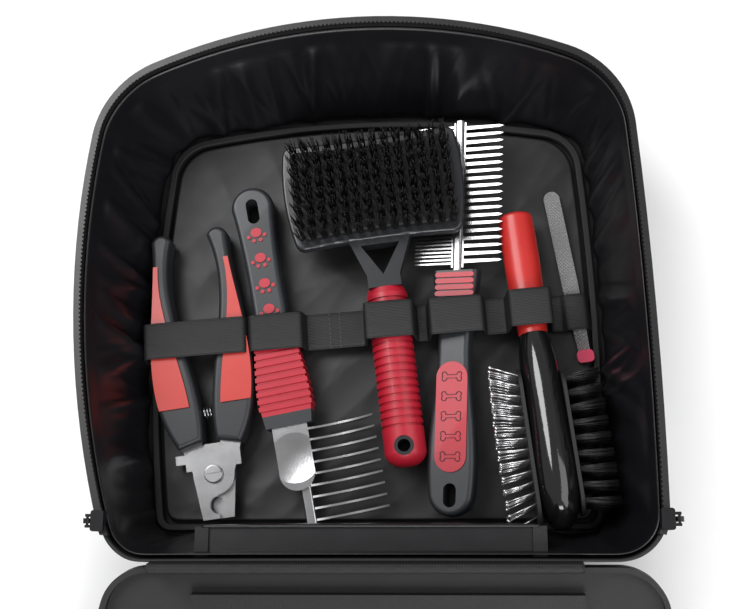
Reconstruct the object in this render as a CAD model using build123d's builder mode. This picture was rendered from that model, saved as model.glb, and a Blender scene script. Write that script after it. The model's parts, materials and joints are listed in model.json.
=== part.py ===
"""Pet grooming kit: a zipped soft case lying open, its lid folded back, with six tools held by an elastic band.

Millimetres. The origin is the centre of the tray's base on the floor, +Z is up and +Y points from the lid's hinge
to the tray's rounded end. The lid is drawn closed on the tray's rim and turned about the hinge line into its place.
"""
import math
import os
from build123d import *

os.makedirs("parts", exist_ok=True)

# Tray: outline points of the base and of the rim, as (left x, right x, y)
BASE_HINGE = (-109.0, 112.0, -114.0)
BASE_MIDDLE = (-115.0, 114.0, -10.0)
BASE_TOP = (-108.0, 108.0, 92.0)
BASE_CROWN = (0.0, 102.0)
BASE_HINGE_RADIUS = 12.0
BASE_TOP_RADIUS = 26.0
RIM_HINGE = (-110.0, 128.0, -125.0)
RIM_MIDDLE = (-131.5, 128.0, -20.0)
RIM_TOP = (-124.0, 122.0, 96.0)
RIM_CROWN = (8.0, 127.0)
RIM_HINGE_RADIUS = 21.0
RIM_TOP_RADIUS = 46.0
RIM_Z = 65.0
WALL = 3.0
WALL_TOP = 55.0
BOARD = 3.0
PANEL = 4.0
PIPING_INSET = 4.5
PIPING_WIDTH = 3.0
PIPING_RISE = 1.2

# Zip: the woven tape that stands on the wall, and the strip of teeth on its edge
TAPE = 1.2
TEETH_WIDTH = 2.6
TEETH_HEIGHT = 2.4
TEETH_GAP = 0.3

# Lid, drawn closed
LID_TAPE_HEIGHT = 4.4
LID_WALL_HEIGHT = 4.0
LID_BOARD = 4.0
LID_WALL = 2.2
POCKET_DEPTH = 3.6
POCKET_INSET = 7.0
POCKET_BINDING_WIDTH = 6.0
POCKET_BINDING = 1.0
POCKET_ZIP_Y = 20.0
POCKET_ZIP_WIDTH = 5.0
POCKET_ZIP_HEIGHT = 1.4
POCKET_ZIP_HALF = 84.0

# Hinge line of the lid, along X behind the rim
HINGE_SETBACK = 1.5
HINGE_CORD_RADIUS = 1.8
HINGE_CORD_AIR = 0.05
HINGE_ROOM = 2.6
HINGE_HALF = 92.0
HINGE_STRIP = 1.6
CORNER_ROOM = 12.0
LID_CORNER_ROOM = 34.0
SPINE_THICKNESS = 11.0
SPINE_FOOT = 1.0
BINDING_X = (-71.0, 75.0)
BINDING_WIDTH = 6.0
BINDING = 1.2

# Sliders parked at the hinge corners, and their pulls
SLIDER_LENGTH = 9.0
SLIDER_WIDTH = 5.6
SLIDER_HEIGHT = 5.2
SLIDER_Y = -107.0
PULL_LENGTH = 18.0
PULL_WIDTH = 4.6
PULL = 1.2
PULL_PIN_RADIUS = 0.6
PULL_CLEARANCE = 0.05
PULL_EAR = 1.2
PULL_REACH = 2.1

# Elastic band, measured along itself from its left end
BAND_START = (-113.1, -20.4)
BAND_HEADING = 3.9
BAND_WIDTH = 17.6
BAND = 1.2
BAND_AIR = 0.6
BAND_SIDE_AIR = 1.3
BAND_FOOT = 1.6

# Places of the tools in the tray: (x, y, z) and the angle from +Y, in degrees
CLIPPER_PLACE = (-75.4, -83.5, 15.2)
CLIPPER_ANGLE = 8.0
RAKE_PLACE = (-39.2, -61.1, 15.4)
RAKE_ANGLE = 10.7
BRUSH_PLACE = (1.5, 54.3, 19.0)
BRUSH_ANGLE = 6.5
COMB_PLACE = (41.9, 13.0, 18.0)
COMB_ANGLE = -2.3
COMB_ROLL = -13.0
DUO_BODY_LENGTH = 91.0
DUO_FOOT_Y = -111.0
DUO_PLACE = (77.3, DUO_FOOT_Y + DUO_BODY_LENGTH, 22.5)
DUO_ANGLE = 6.2
DUO_PITCH = -5.0
FILE_PLACE = (88.9, 56.0, 8.6)
FILE_ANGLE = 9.3

# Nail clippers, about their screw
HANDLE_THICKNESS = 12.6
HANDLE_EDGE = 2.5
HANDLE_TOP = 118.0
HANDLE_FOOT = 13.0
HANDLE_FOOT_SLOPE = 3.0
HANDLE_FOOT_WIDTH = 12.0
HANDLE_INNER = 6.4
HANDLE_TOP_INNER = 9.0
HANDLE_BOW = 9.8
HANDLE_WIDTH = 14.6
HANDLE_SHOULDER = (20.2, 34.0)
GRIP_INSET = 0.8
GRIP_SIDE = 4.6
GRIP_START = 33.0
GRIP_END = 105.0
GRIP_RISE = 0.8
JAW = 2.4
JAW_GAP = 0.15
JAW_LENGTH = 21.0
JAW_WIDTH = 9.0
JAW_NOTCH = 4.2
PLATE_WIDTH = 15.0
PLATE_TOP = 14.6
PLATE_ACROSS = 3.0
JAW_OFFSET = 0.8
TANG_RADIUS = 10.0
SCREW_RADIUS = 2.4
SCREW_CLEARANCE = 0.05
SCREW_HEAD_RADIUS = 4.4
SCREW_HEAD = 1.8
GUARD = 1.2
GUARD_GAP = 0.3
GUARD_REACH = 19.0
GUARD_TAB = 18.0
GUARD_TAB_WIDTH = 4.4
GUARD_TAB_Y = 9.2
GUARD_HALF = 7.0
GUARD_TIP = 4.0
GUARD_RIM = 2.0
SPRING_Y = 30.0
SPRING_RADIUS = 2.6
SPRING_WIRE = 0.45
SPRING_TURNS = 3.0
SPRING_PITCH = 1.5
SPRING_SAMPLES = 240

# Dematting rake, about the end of its collar
RAKE_LENGTH = 122.0
RAKE_HALF_TOP = 10.3
RAKE_HALF_WAIST = 8.2
RAKE_HALF_GRIP = 12.2
RAKE_GRIP_END = 48.0
RAKE_THICKNESS = 12.6
RAKE_COLLAR = 6.0
RAKE_EDGE = 2.5
RAKE_RIBS = 11
RAKE_RIB_PITCH = 3.6
RAKE_RIB_WIDTH = 2.2
RAKE_RIB_RISE = 0.7
RAKE_HOLE = (6.0, 13.0)
RAKE_HOLE_Y = 109.0
PAW_COUNT = 4
PAW_PITCH = 13.2
PAW_START = 58.0
PAW_PAD_RADIUS = 2.4
PAW_TOE_RADIUS = 0.95
PAW_TOE_REACH = 4.4
PAW_RISE = 0.5
SPOON_LENGTH = 31.0
SPOON_WIDTH = 17.0
SPOON = 2.4
SPOON_RADIUS = 60.0
SPOON_DISH = 1.2
SHAFT_LENGTH = 48.5
SHAFT_WIDTH = 5.0
SHAFT_HEIGHT = 5.0
BLADES = 9
BLADE_PITCH = 5.4
BLADE_FIRST = 6.0
BLADE = 1.0
BLADE_REACH = 40.0
BLADE_HALF = 3.2
BLADE_TIP_RISE = 6.0

# Bristle brush, about the middle of its head
HEAD_TOP = 85.0
HEAD_BOTTOM = 80.0
HEAD_LENGTH = 55.0
HEAD_BULGE = 2.0
HEAD_HOLLOW = 1.5
HEAD_RADIUS = 5.0
HEAD_Z = 3.6
HEAD_THICKNESS = 6.0
NECK_HALF = 15.5
NECK_ARM = 6.0
NECK_END_HALF = 8.0
NECK_END = 50.0
NECK_THICKNESS = 9.0
PAD_INSET = 4.5
PAD_THICKNESS = 2.6
BRUSH_COLUMNS = 16
BRUSH_ROWS = 10
BRUSH_ROW_PITCH = 4.6
BRUSH_BRISTLE = 1.1
BRUSH_BRISTLE_LENGTH = 15.0
BRUSH_BACKING = 1.6
BRUSH_GRIP_RADIUS = 10.0
BRUSH_GRIP_START = 48.0
BRUSH_GRIP_END = 136.0
BRUSH_GROOVES = 18
BRUSH_GROOVE_PITCH = 3.6
BRUSH_GROOVE = 0.8
BRUSH_GROOVE_START = 6.0
BRUSH_GRIP_SHOULDER = 3.0
BRUSH_HOLE_Y = 126.8
GROMMET_RADIUS = 4.6
GROMMET_HOLE = 3.0
GROMMET_HALF = 9.4

# Two-sided comb, about its collar
COMB_SPINE_LENGTH = 78.5
COMB_SPINE_HALF = 2.2
COMB_COARSE = 19
COMB_COARSE_PITCH = 3.85
COMB_COARSE_ROOT = 1.9
COMB_FINE = 38
COMB_FINE_PITCH = 1.925
COMB_FINE_ROOT = 1.0
COMB_TINE_REACH = 22.0
COMB_TINE = 1.4
COMB_LENGTH = 117.0
COMB_COLLAR = 6.0
COMB_COLLAR_HALF = 11.2
COMB_NECK_HALF = 7.7
COMB_NECK_Y = 38.0
COMB_HALF = 10.6
COMB_THICKNESS = 11.0
COMB_EDGE = 2.5
COMB_HOLE = (6.0, 11.0)
COMB_HOLE_Y = 107.5
INLAY_LENGTH = 52.0
INLAY_WIDTH = 15.0
INLAY_Y = 71.0
INLAY_RISE = 0.6
COMB_RIBS = 5
COMB_RIB_PITCH = 3.1
COMB_RIB_WIDTH = 2.4
COMB_RIB_LENGTH = 19.0
COMB_RIB_Y = 8.6

# Two-sided brush lying on its edge, about the joint of its grip
DUO_BODY_HALF_HEIGHT = 15.5
DUO_BODY_HALF = 9.0
DUO_BODY_BULGE = 10.5
DUO_BODY_SHAPE = ((0.0, 0.66, 0.54), (0.22, 0.9, 0.84), (0.6, 1.0, 1.0), (0.88, 0.9, 0.86), (1.0, 0.3, 0.36))
DUO_CUSHION_HALF = 10.5
DUO_CUSHION_ROOM = 2.5
DUO_CUSHION = 1.6
DUO_STRAND_SHIFT = 7.0
DUO_PIN_COLUMNS = 14
DUO_PIN_ROWS = 6
DUO_PIN_PITCH = (4.9, 3.6)
DUO_PIN = 1.1
DUO_PIN_LENGTH = 13.5
DUO_BRISTLE_COLUMNS = 16
DUO_BRISTLE_ROWS = 7
DUO_BRISTLE_PITCH = (3.9, 3.2)
DUO_BRISTLE_LENGTH = 16.5
DUO_GRIP_LENGTH = 59.0
DUO_GRIP_HALF = 8.4
DUO_GRIP_HALF_HEIGHT = 7.4
DUO_GRIP_NECK_HALF = 6.8
DUO_CAP_LENGTH = 3.0

# Nail file
FILE_LENGTH = 82.0
FILE_WIDTH = 7.8
FILE_END_WIDTH = 5.6
FILE = 1.4
FILE_HANDLE_LENGTH = 6.0
FILE_HANDLE_WIDTH = 8.0
FILE_HANDLE = 2.6

BED_Z = BOARD + PANEL


def save(piece, label, place=Location()):
    """Puts a finished piece where it lies in the open kit, labels it and writes its STEP file."""
    part = piece.moved(place)
    part.label = label
    export_step(part, f"parts/{label}.step")
    return part


def lying(place, angle, pitch=0.0, roll=0.0):
    """The place of a tool whose own Y axis is turned by angle from +Y, then pitched about X and rolled about Y."""
    return Location(place) * Location((0, 0, 0), (0, 0, angle)) * Location((0, 0, 0), (pitch, roll, 0))


def outline(hinge, middle, top, crown, hinge_radius, top_radius, inset=0.0):
    """The tray's rounded outline: four arcs or lines joined by fillets, moved inwards by inset."""
    left_hinge = (hinge[0] + inset, hinge[2] + inset)
    right_hinge = (hinge[1] - inset, hinge[2] + inset)
    left_top = (top[0] + inset, top[2] - inset)
    right_top = (top[1] - inset, top[2] - inset)
    with BuildSketch() as sketch:
        with BuildLine():
            Line(left_hinge, right_hinge)
            ThreePointArc(right_hinge, (middle[1] - inset, middle[2]), right_top)
            ThreePointArc(right_top, (crown[0], crown[1] - inset), left_top)
            ThreePointArc(left_top, (middle[0] + inset, middle[2]), left_hinge)
        make_face()
        corners = sketch.vertices().sort_by(Axis.Y)
        fillet(corners[:2], max(hinge_radius - inset, 2.0))
        fillet(sketch.vertices().sort_by(Axis.Y)[-2:], max(top_radius - inset, 2.0))
    return sketch.sketch


def base_outline(inset=0.0):
    """The outline of the tray's base."""
    return outline(BASE_HINGE, BASE_MIDDLE, BASE_TOP, BASE_CROWN, BASE_HINGE_RADIUS, BASE_TOP_RADIUS, inset)


def rim_outline(inset=0.0):
    """The outline of the tray's rim."""
    return outline(RIM_HINGE, RIM_MIDDLE, RIM_TOP, RIM_CROWN, RIM_HINGE_RADIUS, RIM_TOP_RADIUS, inset)


def between(low, high, share):
    """A number or tuple part of the way from low to high."""
    if isinstance(low, tuple):
        return tuple(a + (b - a) * share for a, b in zip(low, high))
    return low + (high - low) * share


def level_outline(z, inset=0.0):
    """The outline of the splayed wall at height z."""
    share = z / RIM_Z
    return Location((0, 0, z)) * outline(
        between(BASE_HINGE, RIM_HINGE, share),
        between(BASE_MIDDLE, RIM_MIDDLE, share),
        between(BASE_TOP, RIM_TOP, share),
        between(BASE_CROWN, RIM_CROWN, share),
        between(BASE_HINGE_RADIUS, RIM_HINGE_RADIUS, share),
        between(BASE_TOP_RADIUS, RIM_TOP_RADIUS, share),
        inset,
    )


def ring(low, high, inset, thickness):
    """A splayed ring of the wall between the heights low and high."""
    with BuildPart() as hoop:
        loft([level_outline(low, inset).face(), level_outline(high, inset).face()], ruled=True)
        loft(
            [level_outline(low, inset + thickness).face(), level_outline(high, inset + thickness).face()],
            ruled=True,
            mode=Mode.SUBTRACT,
        )
    return hoop.part


def band_of(height, low, inset, thickness):
    """A straight ring of the rim's outline, height tall, standing at low."""
    with BuildPart() as hoop:
        with BuildSketch(Plane.XY.offset(low)):
            add(rim_outline(inset))
            add(rim_outline(inset + thickness), mode=Mode.SUBTRACT)
        extrude(amount=height)
    return hoop.part


def clear_of_hinge(room):
    """A block that covers the hinge side up to room from the hinge line."""
    size = 4 * RIM_HINGE[1]
    block = Box(size, size, size, align=(Align.CENTER, Align.MAX, Align.CENTER), mode=Mode.PRIVATE)
    return Pos(0, RIM_HINGE[2] + room, 0) * block


def rim_side(side, y):
    """The x of the rim's side arc at y, for the left side -1 or the right side 1."""
    ends = [(point[side > 0], point[2]) for point in (RIM_HINGE, RIM_MIDDLE, RIM_TOP)]
    (x1, y1), (x2, y2), (x3, y3) = ends
    turn = 2 * (x1 * (y2 - y3) + x2 * (y3 - y1) + x3 * (y1 - y2))
    squares = [x * x + y * y for x, y in ends]
    centre_x = (squares[0] * (y2 - y3) + squares[1] * (y3 - y1) + squares[2] * (y1 - y2)) / turn
    centre_y = (squares[0] * (x3 - x2) + squares[1] * (x1 - x3) + squares[2] * (x2 - x1)) / turn
    radius = math.hypot(x1 - centre_x, y1 - centre_y)
    return centre_x + side * math.sqrt(radius**2 - (y - centre_y) ** 2)


# Tray
with BuildPart() as tray_base:
    with BuildSketch():
        add(base_outline())
    extrude(amount=BOARD)
save(tray_base.part, "tray_base")

with BuildPart() as tray_wall:
    add(ring(BOARD, WALL_TOP, 0.0, WALL))
save(tray_wall.part, "tray_wall")

with BuildPart() as tray_zip_tape:
    add(ring(WALL_TOP, RIM_Z - TEETH_HEIGHT, (WALL - TAPE) / 2, TAPE))
    add(clear_of_hinge(CORNER_ROOM), mode=Mode.SUBTRACT)
save(tray_zip_tape.part, "tray_zip_tape")

with BuildPart() as tray_zip_teeth:
    add(ring(RIM_Z - TEETH_HEIGHT, RIM_Z, (WALL - TEETH_WIDTH) / 2, TEETH_WIDTH))
    add(clear_of_hinge(CORNER_ROOM), mode=Mode.SUBTRACT)
save(tray_zip_teeth.part, "tray_zip_teeth")

with BuildPart() as tool_panel:
    with BuildSketch(Plane.XY.offset(BOARD)):
        add(base_outline(PIPING_INSET + PIPING_WIDTH))
    extrude(amount=PANEL)
save(tool_panel.part, "tool_panel")

with BuildPart() as panel_piping:
    with BuildSketch(Plane.XY.offset(BOARD)):
        add(base_outline(PIPING_INSET))
        add(base_outline(PIPING_INSET + PIPING_WIDTH), mode=Mode.SUBTRACT)
    extrude(amount=PANEL + PIPING_RISE)
    fillet(panel_piping.faces().sort_by(Axis.Z)[-1].edges(), PIPING_RISE / 2)
save(panel_piping.part, "panel_piping")

# Spine: the padded strip of the hinge side, its two bindings, the strip above it and the hinge cord
HINGE_Y = RIM_HINGE[2] - HINGE_SETBACK
SPINE_FOOT_Y = between(BASE_HINGE[2], RIM_HINGE[2], BED_Z / RIM_Z) + WALL
SPINE_TOP_Y = between(BASE_HINGE[2], RIM_HINGE[2], WALL_TOP / RIM_Z) + WALL
SPINE_MIDDLE = (BINDING_X[0] + BINDING_X[1]) / 2
SPINE_LENGTH = BINDING_X[1] - BINDING_X[0]
HINGE_X = (RIM_HINGE[0] + RIM_HINGE[1]) / 2

with BuildPart() as spine_panel:
    with BuildSketch(Plane.YZ.offset(SPINE_MIDDLE)):
        with BuildLine():
            Polyline(
                (SPINE_FOOT_Y, BED_Z + PIPING_RISE),
                (SPINE_TOP_Y, WALL_TOP),
                (SPINE_TOP_Y + SPINE_THICKNESS, WALL_TOP),
                (SPINE_FOOT_Y + SPINE_FOOT, BED_Z + PIPING_RISE),
                close=True,
            )
        make_face()
    extrude(amount=SPINE_LENGTH / 2, both=True)
save(spine_panel.part, "spine_panel")

with BuildPart() as hinge_bindings:
    with BuildSketch(Plane.XY.offset(WALL_TOP)):
        for x in BINDING_X:
            with Locations((x, SPINE_TOP_Y + (SPINE_THICKNESS - WALL) / 2)):
                Rectangle(BINDING_WIDTH, SPINE_THICKNESS + WALL)
    extrude(amount=BINDING)
save(hinge_bindings.part, "hinge_bindings")

with BuildPart() as hinge_strip:
    with BuildSketch(Plane.YZ):
        with BuildLine():
            Polyline(
                (SPINE_TOP_Y - WALL, WALL_TOP),
                (HINGE_Y, RIM_Z - HINGE_CORD_RADIUS / 2),
                (HINGE_Y + HINGE_STRIP, RIM_Z - HINGE_CORD_RADIUS / 2),
                (SPINE_TOP_Y - WALL + HINGE_STRIP, WALL_TOP),
                close=True,
            )
        make_face()
    extrude(amount=HINGE_HALF, both=True)
    with Locations(Location((0, HINGE_Y, RIM_Z), (0, 90, 0))):
        Cylinder(HINGE_CORD_RADIUS + HINGE_CORD_AIR, 2 * HINGE_HALF, mode=Mode.SUBTRACT)
    for x in BINDING_X:
        with Locations((x, SPINE_TOP_Y, WALL_TOP)):
            Box(BINDING_WIDTH, 4 * WALL, 2 * BINDING, mode=Mode.SUBTRACT)
save(hinge_strip.part, "hinge_strip")

with BuildPart() as hinge_cord:
    with Locations(Location((0, HINGE_Y, RIM_Z), (0, 90, 0))):
        Cylinder(HINGE_CORD_RADIUS, 2 * HINGE_HALF)
save(hinge_cord.part, "hinge_cord")

# Lid, drawn closed and turned back about the hinge line until its far edge meets the floor
LID_TEETH_Z = RIM_Z + TEETH_GAP
LID_TAPE_Z = LID_TEETH_Z + TEETH_HEIGHT
LID_WALL_Z = LID_TAPE_Z + LID_TAPE_HEIGHT
LID_BOARD_Z = LID_WALL_Z + LID_WALL_HEIGHT
LID_TOP = LID_BOARD_Z + LID_BOARD
LID_SPAN = RIM_CROWN[1] - HINGE_Y
LID_RISE = LID_TOP - RIM_Z
LID_TILT = math.degrees(
    math.asin((RIM_Z - TEETH_GAP) / math.hypot(LID_SPAN, LID_RISE)) - math.atan2(LID_RISE, LID_SPAN)
)
LID_OPEN = 180.0 + LID_TILT
lid_place = Location((0, HINGE_Y, RIM_Z)) * Location((0, 0, 0), (LID_OPEN, 0, 0)) * Location((0, -HINGE_Y, -RIM_Z))

with BuildPart() as lid_panel:
    with BuildSketch(Plane.XY.offset(LID_BOARD_Z)):
        add(rim_outline())
    extrude(amount=LID_BOARD)
    fillet(lid_panel.faces().sort_by(Axis.Z)[-1].edges(), LID_BOARD / 2)
save(lid_panel.part, "lid_panel", lid_place)

with BuildPart() as lid_wall:
    add(band_of(LID_WALL_HEIGHT, LID_WALL_Z, 0.0, LID_WALL))
save(lid_wall.part, "lid_wall", lid_place)

with BuildPart() as lid_hinge_strip:
    with Locations((0, RIM_HINGE[2] + LID_WALL / 2, (RIM_Z + HINGE_ROOM + LID_WALL_Z) / 2)):
        Box(2 * HINGE_HALF, LID_WALL, LID_WALL_Z - RIM_Z - HINGE_ROOM)
save(lid_hinge_strip.part, "lid_hinge_strip", lid_place)

with BuildPart() as lid_zip_tape:
    add(band_of(LID_TAPE_HEIGHT, LID_TAPE_Z, (LID_WALL - TAPE) / 2, TAPE))
    add(clear_of_hinge(LID_CORNER_ROOM), mode=Mode.SUBTRACT)
save(lid_zip_tape.part, "lid_zip_tape", lid_place)

with BuildPart() as lid_zip_teeth:
    add(band_of(TEETH_HEIGHT, LID_TEETH_Z, 0.0, TEETH_WIDTH))
    add(clear_of_hinge(LID_CORNER_ROOM), mode=Mode.SUBTRACT)
save(lid_zip_teeth.part, "lid_zip_teeth", lid_place)

with BuildPart() as lid_pocket:
    with BuildSketch(Plane.XY.offset(LID_BOARD_Z - POCKET_DEPTH)):
        add(rim_outline(POCKET_INSET))
    extrude(amount=POCKET_DEPTH)
    add(clear_of_hinge(POCKET_ZIP_Y + POCKET_ZIP_WIDTH / 2), mode=Mode.SUBTRACT)
save(lid_pocket.part, "lid_pocket", lid_place)

with BuildPart() as pocket_binding:
    with Locations((HINGE_X, RIM_HINGE[2] + POCKET_ZIP_Y - POCKET_ZIP_WIDTH / 2, LID_BOARD_Z)):
        Box(
            2 * POCKET_ZIP_HALF,
            POCKET_BINDING_WIDTH,
            POCKET_DEPTH + POCKET_BINDING,
            align=(Align.CENTER, Align.MAX, Align.MAX),
        )
save(pocket_binding.part, "pocket_binding", lid_place)

with BuildPart() as pocket_zip:
    with Locations((HINGE_X, RIM_HINGE[2] + POCKET_ZIP_Y, LID_BOARD_Z)):
        Box(2 * POCKET_ZIP_HALF, POCKET_ZIP_WIDTH, POCKET_ZIP_HEIGHT, align=(Align.CENTER, Align.CENTER, Align.MAX))
save(pocket_zip.part, "pocket_zip", lid_place)

# Sliders on the tray's rim and their pulls, which hang outside
for side, name in ((-1, "left"), (1, "right")):
    slider_x = rim_side(side, SLIDER_Y) - side * WALL / 2
    slider_z = RIM_Z - TEETH_HEIGHT
    pin_x = slider_x + side * (SLIDER_WIDTH / 2 + PULL_REACH)
    pin_z = slider_z + SLIDER_HEIGHT / 2
    with BuildPart() as zip_slider:
        with Locations((slider_x, SLIDER_Y, slider_z)):
            Box(SLIDER_WIDTH, SLIDER_LENGTH, SLIDER_HEIGHT, align=(Align.CENTER, Align.CENTER, Align.MIN))
        fillet(zip_slider.edges().filter_by(Axis.Z), PULL_EAR)
        for end in (-1, 1):
            with Locations((slider_x + side * (SLIDER_WIDTH / 2), SLIDER_Y + end * PULL_WIDTH / 2, pin_z)):
                Box(2 * PULL_REACH + 2 * PULL_PIN_RADIUS, PULL_EAR, 2 * PULL_EAR + 2 * PULL_PIN_RADIUS / 2)
        with Locations(Location((pin_x, SLIDER_Y, pin_z), (90, 0, 0))):
            Cylinder(PULL_PIN_RADIUS, PULL_WIDTH + PULL_EAR / 2)
        add(tray_zip_teeth.part, mode=Mode.SUBTRACT)
    save(zip_slider.part, f"zip_slider_{name}")
    with BuildPart() as zip_pull:
        with BuildSketch(Plane.XZ.offset(-SLIDER_Y)):
            with Locations((pin_x, pin_z)):
                Circle(PULL_PIN_RADIUS + PULL)
            with Locations((pin_x, pin_z - PULL_LENGTH / 2)):
                Rectangle(PULL, PULL_LENGTH)
            with Locations((pin_x, pin_z)):
                Circle(PULL_PIN_RADIUS + PULL_CLEARANCE, mode=Mode.SUBTRACT)
        extrude(amount=(PULL_WIDTH - 2 * PULL_EAR) / 2, both=True)
    save(zip_pull.part, f"zip_pull_{name}")

# Elastic band: it rises over every tool and is stitched to the panel between them
band_place = Location((BAND_START[0], BAND_START[1], 0), (0, 0, BAND_HEADING))


def along_band(x):
    """The distance along the band of a place with the tray's coordinate x."""
    return (x - BAND_START[0]) / math.cos(math.radians(BAND_HEADING))


def tool_x(place, angle):
    """Where a tool's middle line passes under the middle of the band, as the tray's coordinate x."""
    slope = math.tan(math.radians(BAND_HEADING))
    lean = -math.tan(math.radians(angle))
    rise = (BAND_START[1] - place[1] + slope * (place[0] - BAND_START[0])) / (1 - slope * lean)
    return place[0] + lean * rise


clipper_x = tool_x(CLIPPER_PLACE, CLIPPER_ANGLE)
rake_x = tool_x(RAKE_PLACE, RAKE_ANGLE)
brush_x = tool_x(BRUSH_PLACE, BRUSH_ANGLE)
comb_x = tool_x(COMB_PLACE, COMB_ANGLE)
duo_x = tool_x(DUO_PLACE, DUO_ANGLE)
file_x = tool_x(FILE_PLACE, FILE_ANGLE)
handles_top = max(CLIPPER_PLACE[2] + HANDLE_THICKNESS / 2, RAKE_PLACE[2] + RAKE_THICKNESS / 2) + GRIP_RISE
bridges = [
    (clipper_x - HANDLE_BOW - HANDLE_WIDTH - BAND_AIR, rake_x + RAKE_HALF_GRIP + RAKE_RIB_RISE, handles_top),
    (brush_x - BRUSH_GRIP_RADIUS, brush_x + BRUSH_GRIP_RADIUS, BRUSH_PLACE[2] + BRUSH_GRIP_RADIUS),
    (
        comb_x - COMB_COLLAR_HALF,
        comb_x + COMB_COLLAR_HALF,
        COMB_PLACE[2] + COMB_THICKNESS / 2 + COMB_COLLAR_HALF * math.sin(math.radians(-COMB_ROLL)) + INLAY_RISE,
    ),
    (duo_x - DUO_GRIP_HALF, duo_x + DUO_GRIP_HALF, DUO_PLACE[2] + DUO_GRIP_HALF_HEIGHT),
    (file_x - FILE_WIDTH / 2, file_x + FILE_WIDTH / 2, FILE_PLACE[2] + FILE),
]

with BuildPart() as elastic_band:
    under = [(0.0, BED_Z)]
    over = [(0.0, BED_Z + BAND)]
    for left, right, top in bridges:
        a, b, z = along_band(left) - BAND_SIDE_AIR, along_band(right) + BAND_SIDE_AIR, top + BAND_AIR
        under += [(a - BAND_FOOT / 2, BED_Z), (a, z), (b, z), (b + BAND_FOOT / 2, BED_Z)]
        over += [(a - BAND_FOOT, BED_Z + BAND), (a - BAND_FOOT / 2, z + BAND)]
        over += [(b + BAND_FOOT / 2, z + BAND), (b + BAND_FOOT, BED_Z + BAND)]
    end = over[-1][0] + BAND / 6
    under.append((end, BED_Z))
    over.append((end, BED_Z + BAND))
    with BuildSketch(Plane.XZ):
        with BuildLine():
            Polyline(*under, *reversed(over), close=True)
        make_face()
    extrude(amount=BAND_WIDTH / 2, both=True)
save(elastic_band.part, "elastic_band", band_place)

# Nail clippers
clipper_place = lying(CLIPPER_PLACE, CLIPPER_ANGLE)


def clipper_handle_outline(side, inner=0.0, outer=0.0):
    """One handle's outline, side -1 for the left one, with its inner and outer edges moved inwards."""
    inner_foot = (side * (HANDLE_INNER / 2 + inner), HANDLE_FOOT + HANDLE_FOOT_SLOPE)
    outer_foot = (side * (HANDLE_INNER / 2 + HANDLE_FOOT_WIDTH - outer), HANDLE_FOOT)
    shoulder = (side * (HANDLE_INNER / 2 + HANDLE_SHOULDER[0] - outer), HANDLE_SHOULDER[1])
    waist = (side * (HANDLE_INNER / 2 + inner), HANDLE_SHOULDER[1])
    inner_bow = (side * (HANDLE_BOW + inner), HANDLE_TOP * 0.6)
    outer_bow = (side * (HANDLE_BOW + HANDLE_WIDTH - outer), HANDLE_TOP * 0.55)
    inner_top = (side * (HANDLE_TOP_INNER + inner), HANDLE_TOP)
    outer_top = (side * (HANDLE_TOP_INNER + HANDLE_WIDTH * 0.7 - outer), HANDLE_TOP)
    cap = (side * (HANDLE_TOP_INNER + HANDLE_WIDTH * 0.35), HANDLE_TOP + HANDLE_WIDTH * 0.25)
    with BuildSketch() as sketch:
        with BuildLine():
            Line(inner_foot, outer_foot)
            Spline(outer_foot, shoulder, outer_bow, outer_top)
            ThreePointArc(outer_top, cap, inner_top)
            Spline(inner_top, inner_bow, waist, inner_foot)
        make_face()
    return sketch.sketch


def clipper_blade_outline(side):
    """The plate of one half: its tang in the handle, the disc at the screw and the jaw across it."""
    with BuildSketch() as sketch:
        Circle(TANG_RADIUS)
        with BuildLine():
            Polyline(
                (-side * PLATE_ACROSS, PLATE_TOP),
                (side * PLATE_WIDTH, PLATE_TOP),
                (side * TANG_RADIUS, 0.0),
                (-side * TANG_RADIUS, 0.0),
                close=True,
            )
        make_face()
        with Locations((side * (HANDLE_INNER + HANDLE_FOOT_WIDTH) / 2, HANDLE_FOOT)):
            Rectangle(JAW_WIDTH, 2 * TANG_RADIUS)
        with BuildLine():
            Polyline(
                (side * JAW_OFFSET, 0.0),
                (side * JAW_OFFSET, -JAW_LENGTH),
                (-side * JAW_WIDTH * 0.8, -JAW_LENGTH),
                (-side * TANG_RADIUS, 0.0),
                close=True,
            )
        make_face()
        with Locations((side * JAW_OFFSET, -JAW_LENGTH * 0.7)):
            Circle(JAW_NOTCH, mode=Mode.SUBTRACT)
        Circle(SCREW_RADIUS + SCREW_CLEARANCE, mode=Mode.SUBTRACT)
    return sketch.sketch


for side, name, low in ((-1, "left", -JAW - JAW_GAP), (1, "right", JAW_GAP)):
    with BuildPart() as clipper_blade:
        with BuildSketch(Plane.XY.offset(low)):
            add(clipper_blade_outline(side))
        extrude(amount=JAW)
    save(clipper_blade.part, f"clipper_blade_{name}", clipper_place)
    with BuildPart() as clipper_handle:
        with BuildSketch():
            add(clipper_handle_outline(side))
        extrude(amount=HANDLE_THICKNESS / 2, both=True)
        fillet(clipper_handle.edges().filter_by(Axis.Z, reverse=True), HANDLE_EDGE)
        add(clipper_blade.part, mode=Mode.SUBTRACT)
    save(clipper_handle.part, f"clipper_handle_{name}", clipper_place)
    with BuildPart() as clipper_grip:
        with BuildSketch(Plane.XY.offset(HANDLE_THICKNESS / 2 + GRIP_RISE)):
            add(clipper_handle_outline(side, GRIP_SIDE, GRIP_INSET))
            with Locations((0, (GRIP_START + GRIP_END) / 2)):
                Rectangle(4 * HANDLE_SHOULDER[0], GRIP_END - GRIP_START, mode=Mode.INTERSECT)
        extrude(amount=-GRIP_RISE - HANDLE_EDGE / 2)
        add(clipper_handle.part, mode=Mode.SUBTRACT)
    save(clipper_grip.part, f"clipper_grip_{name}", clipper_place)

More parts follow.
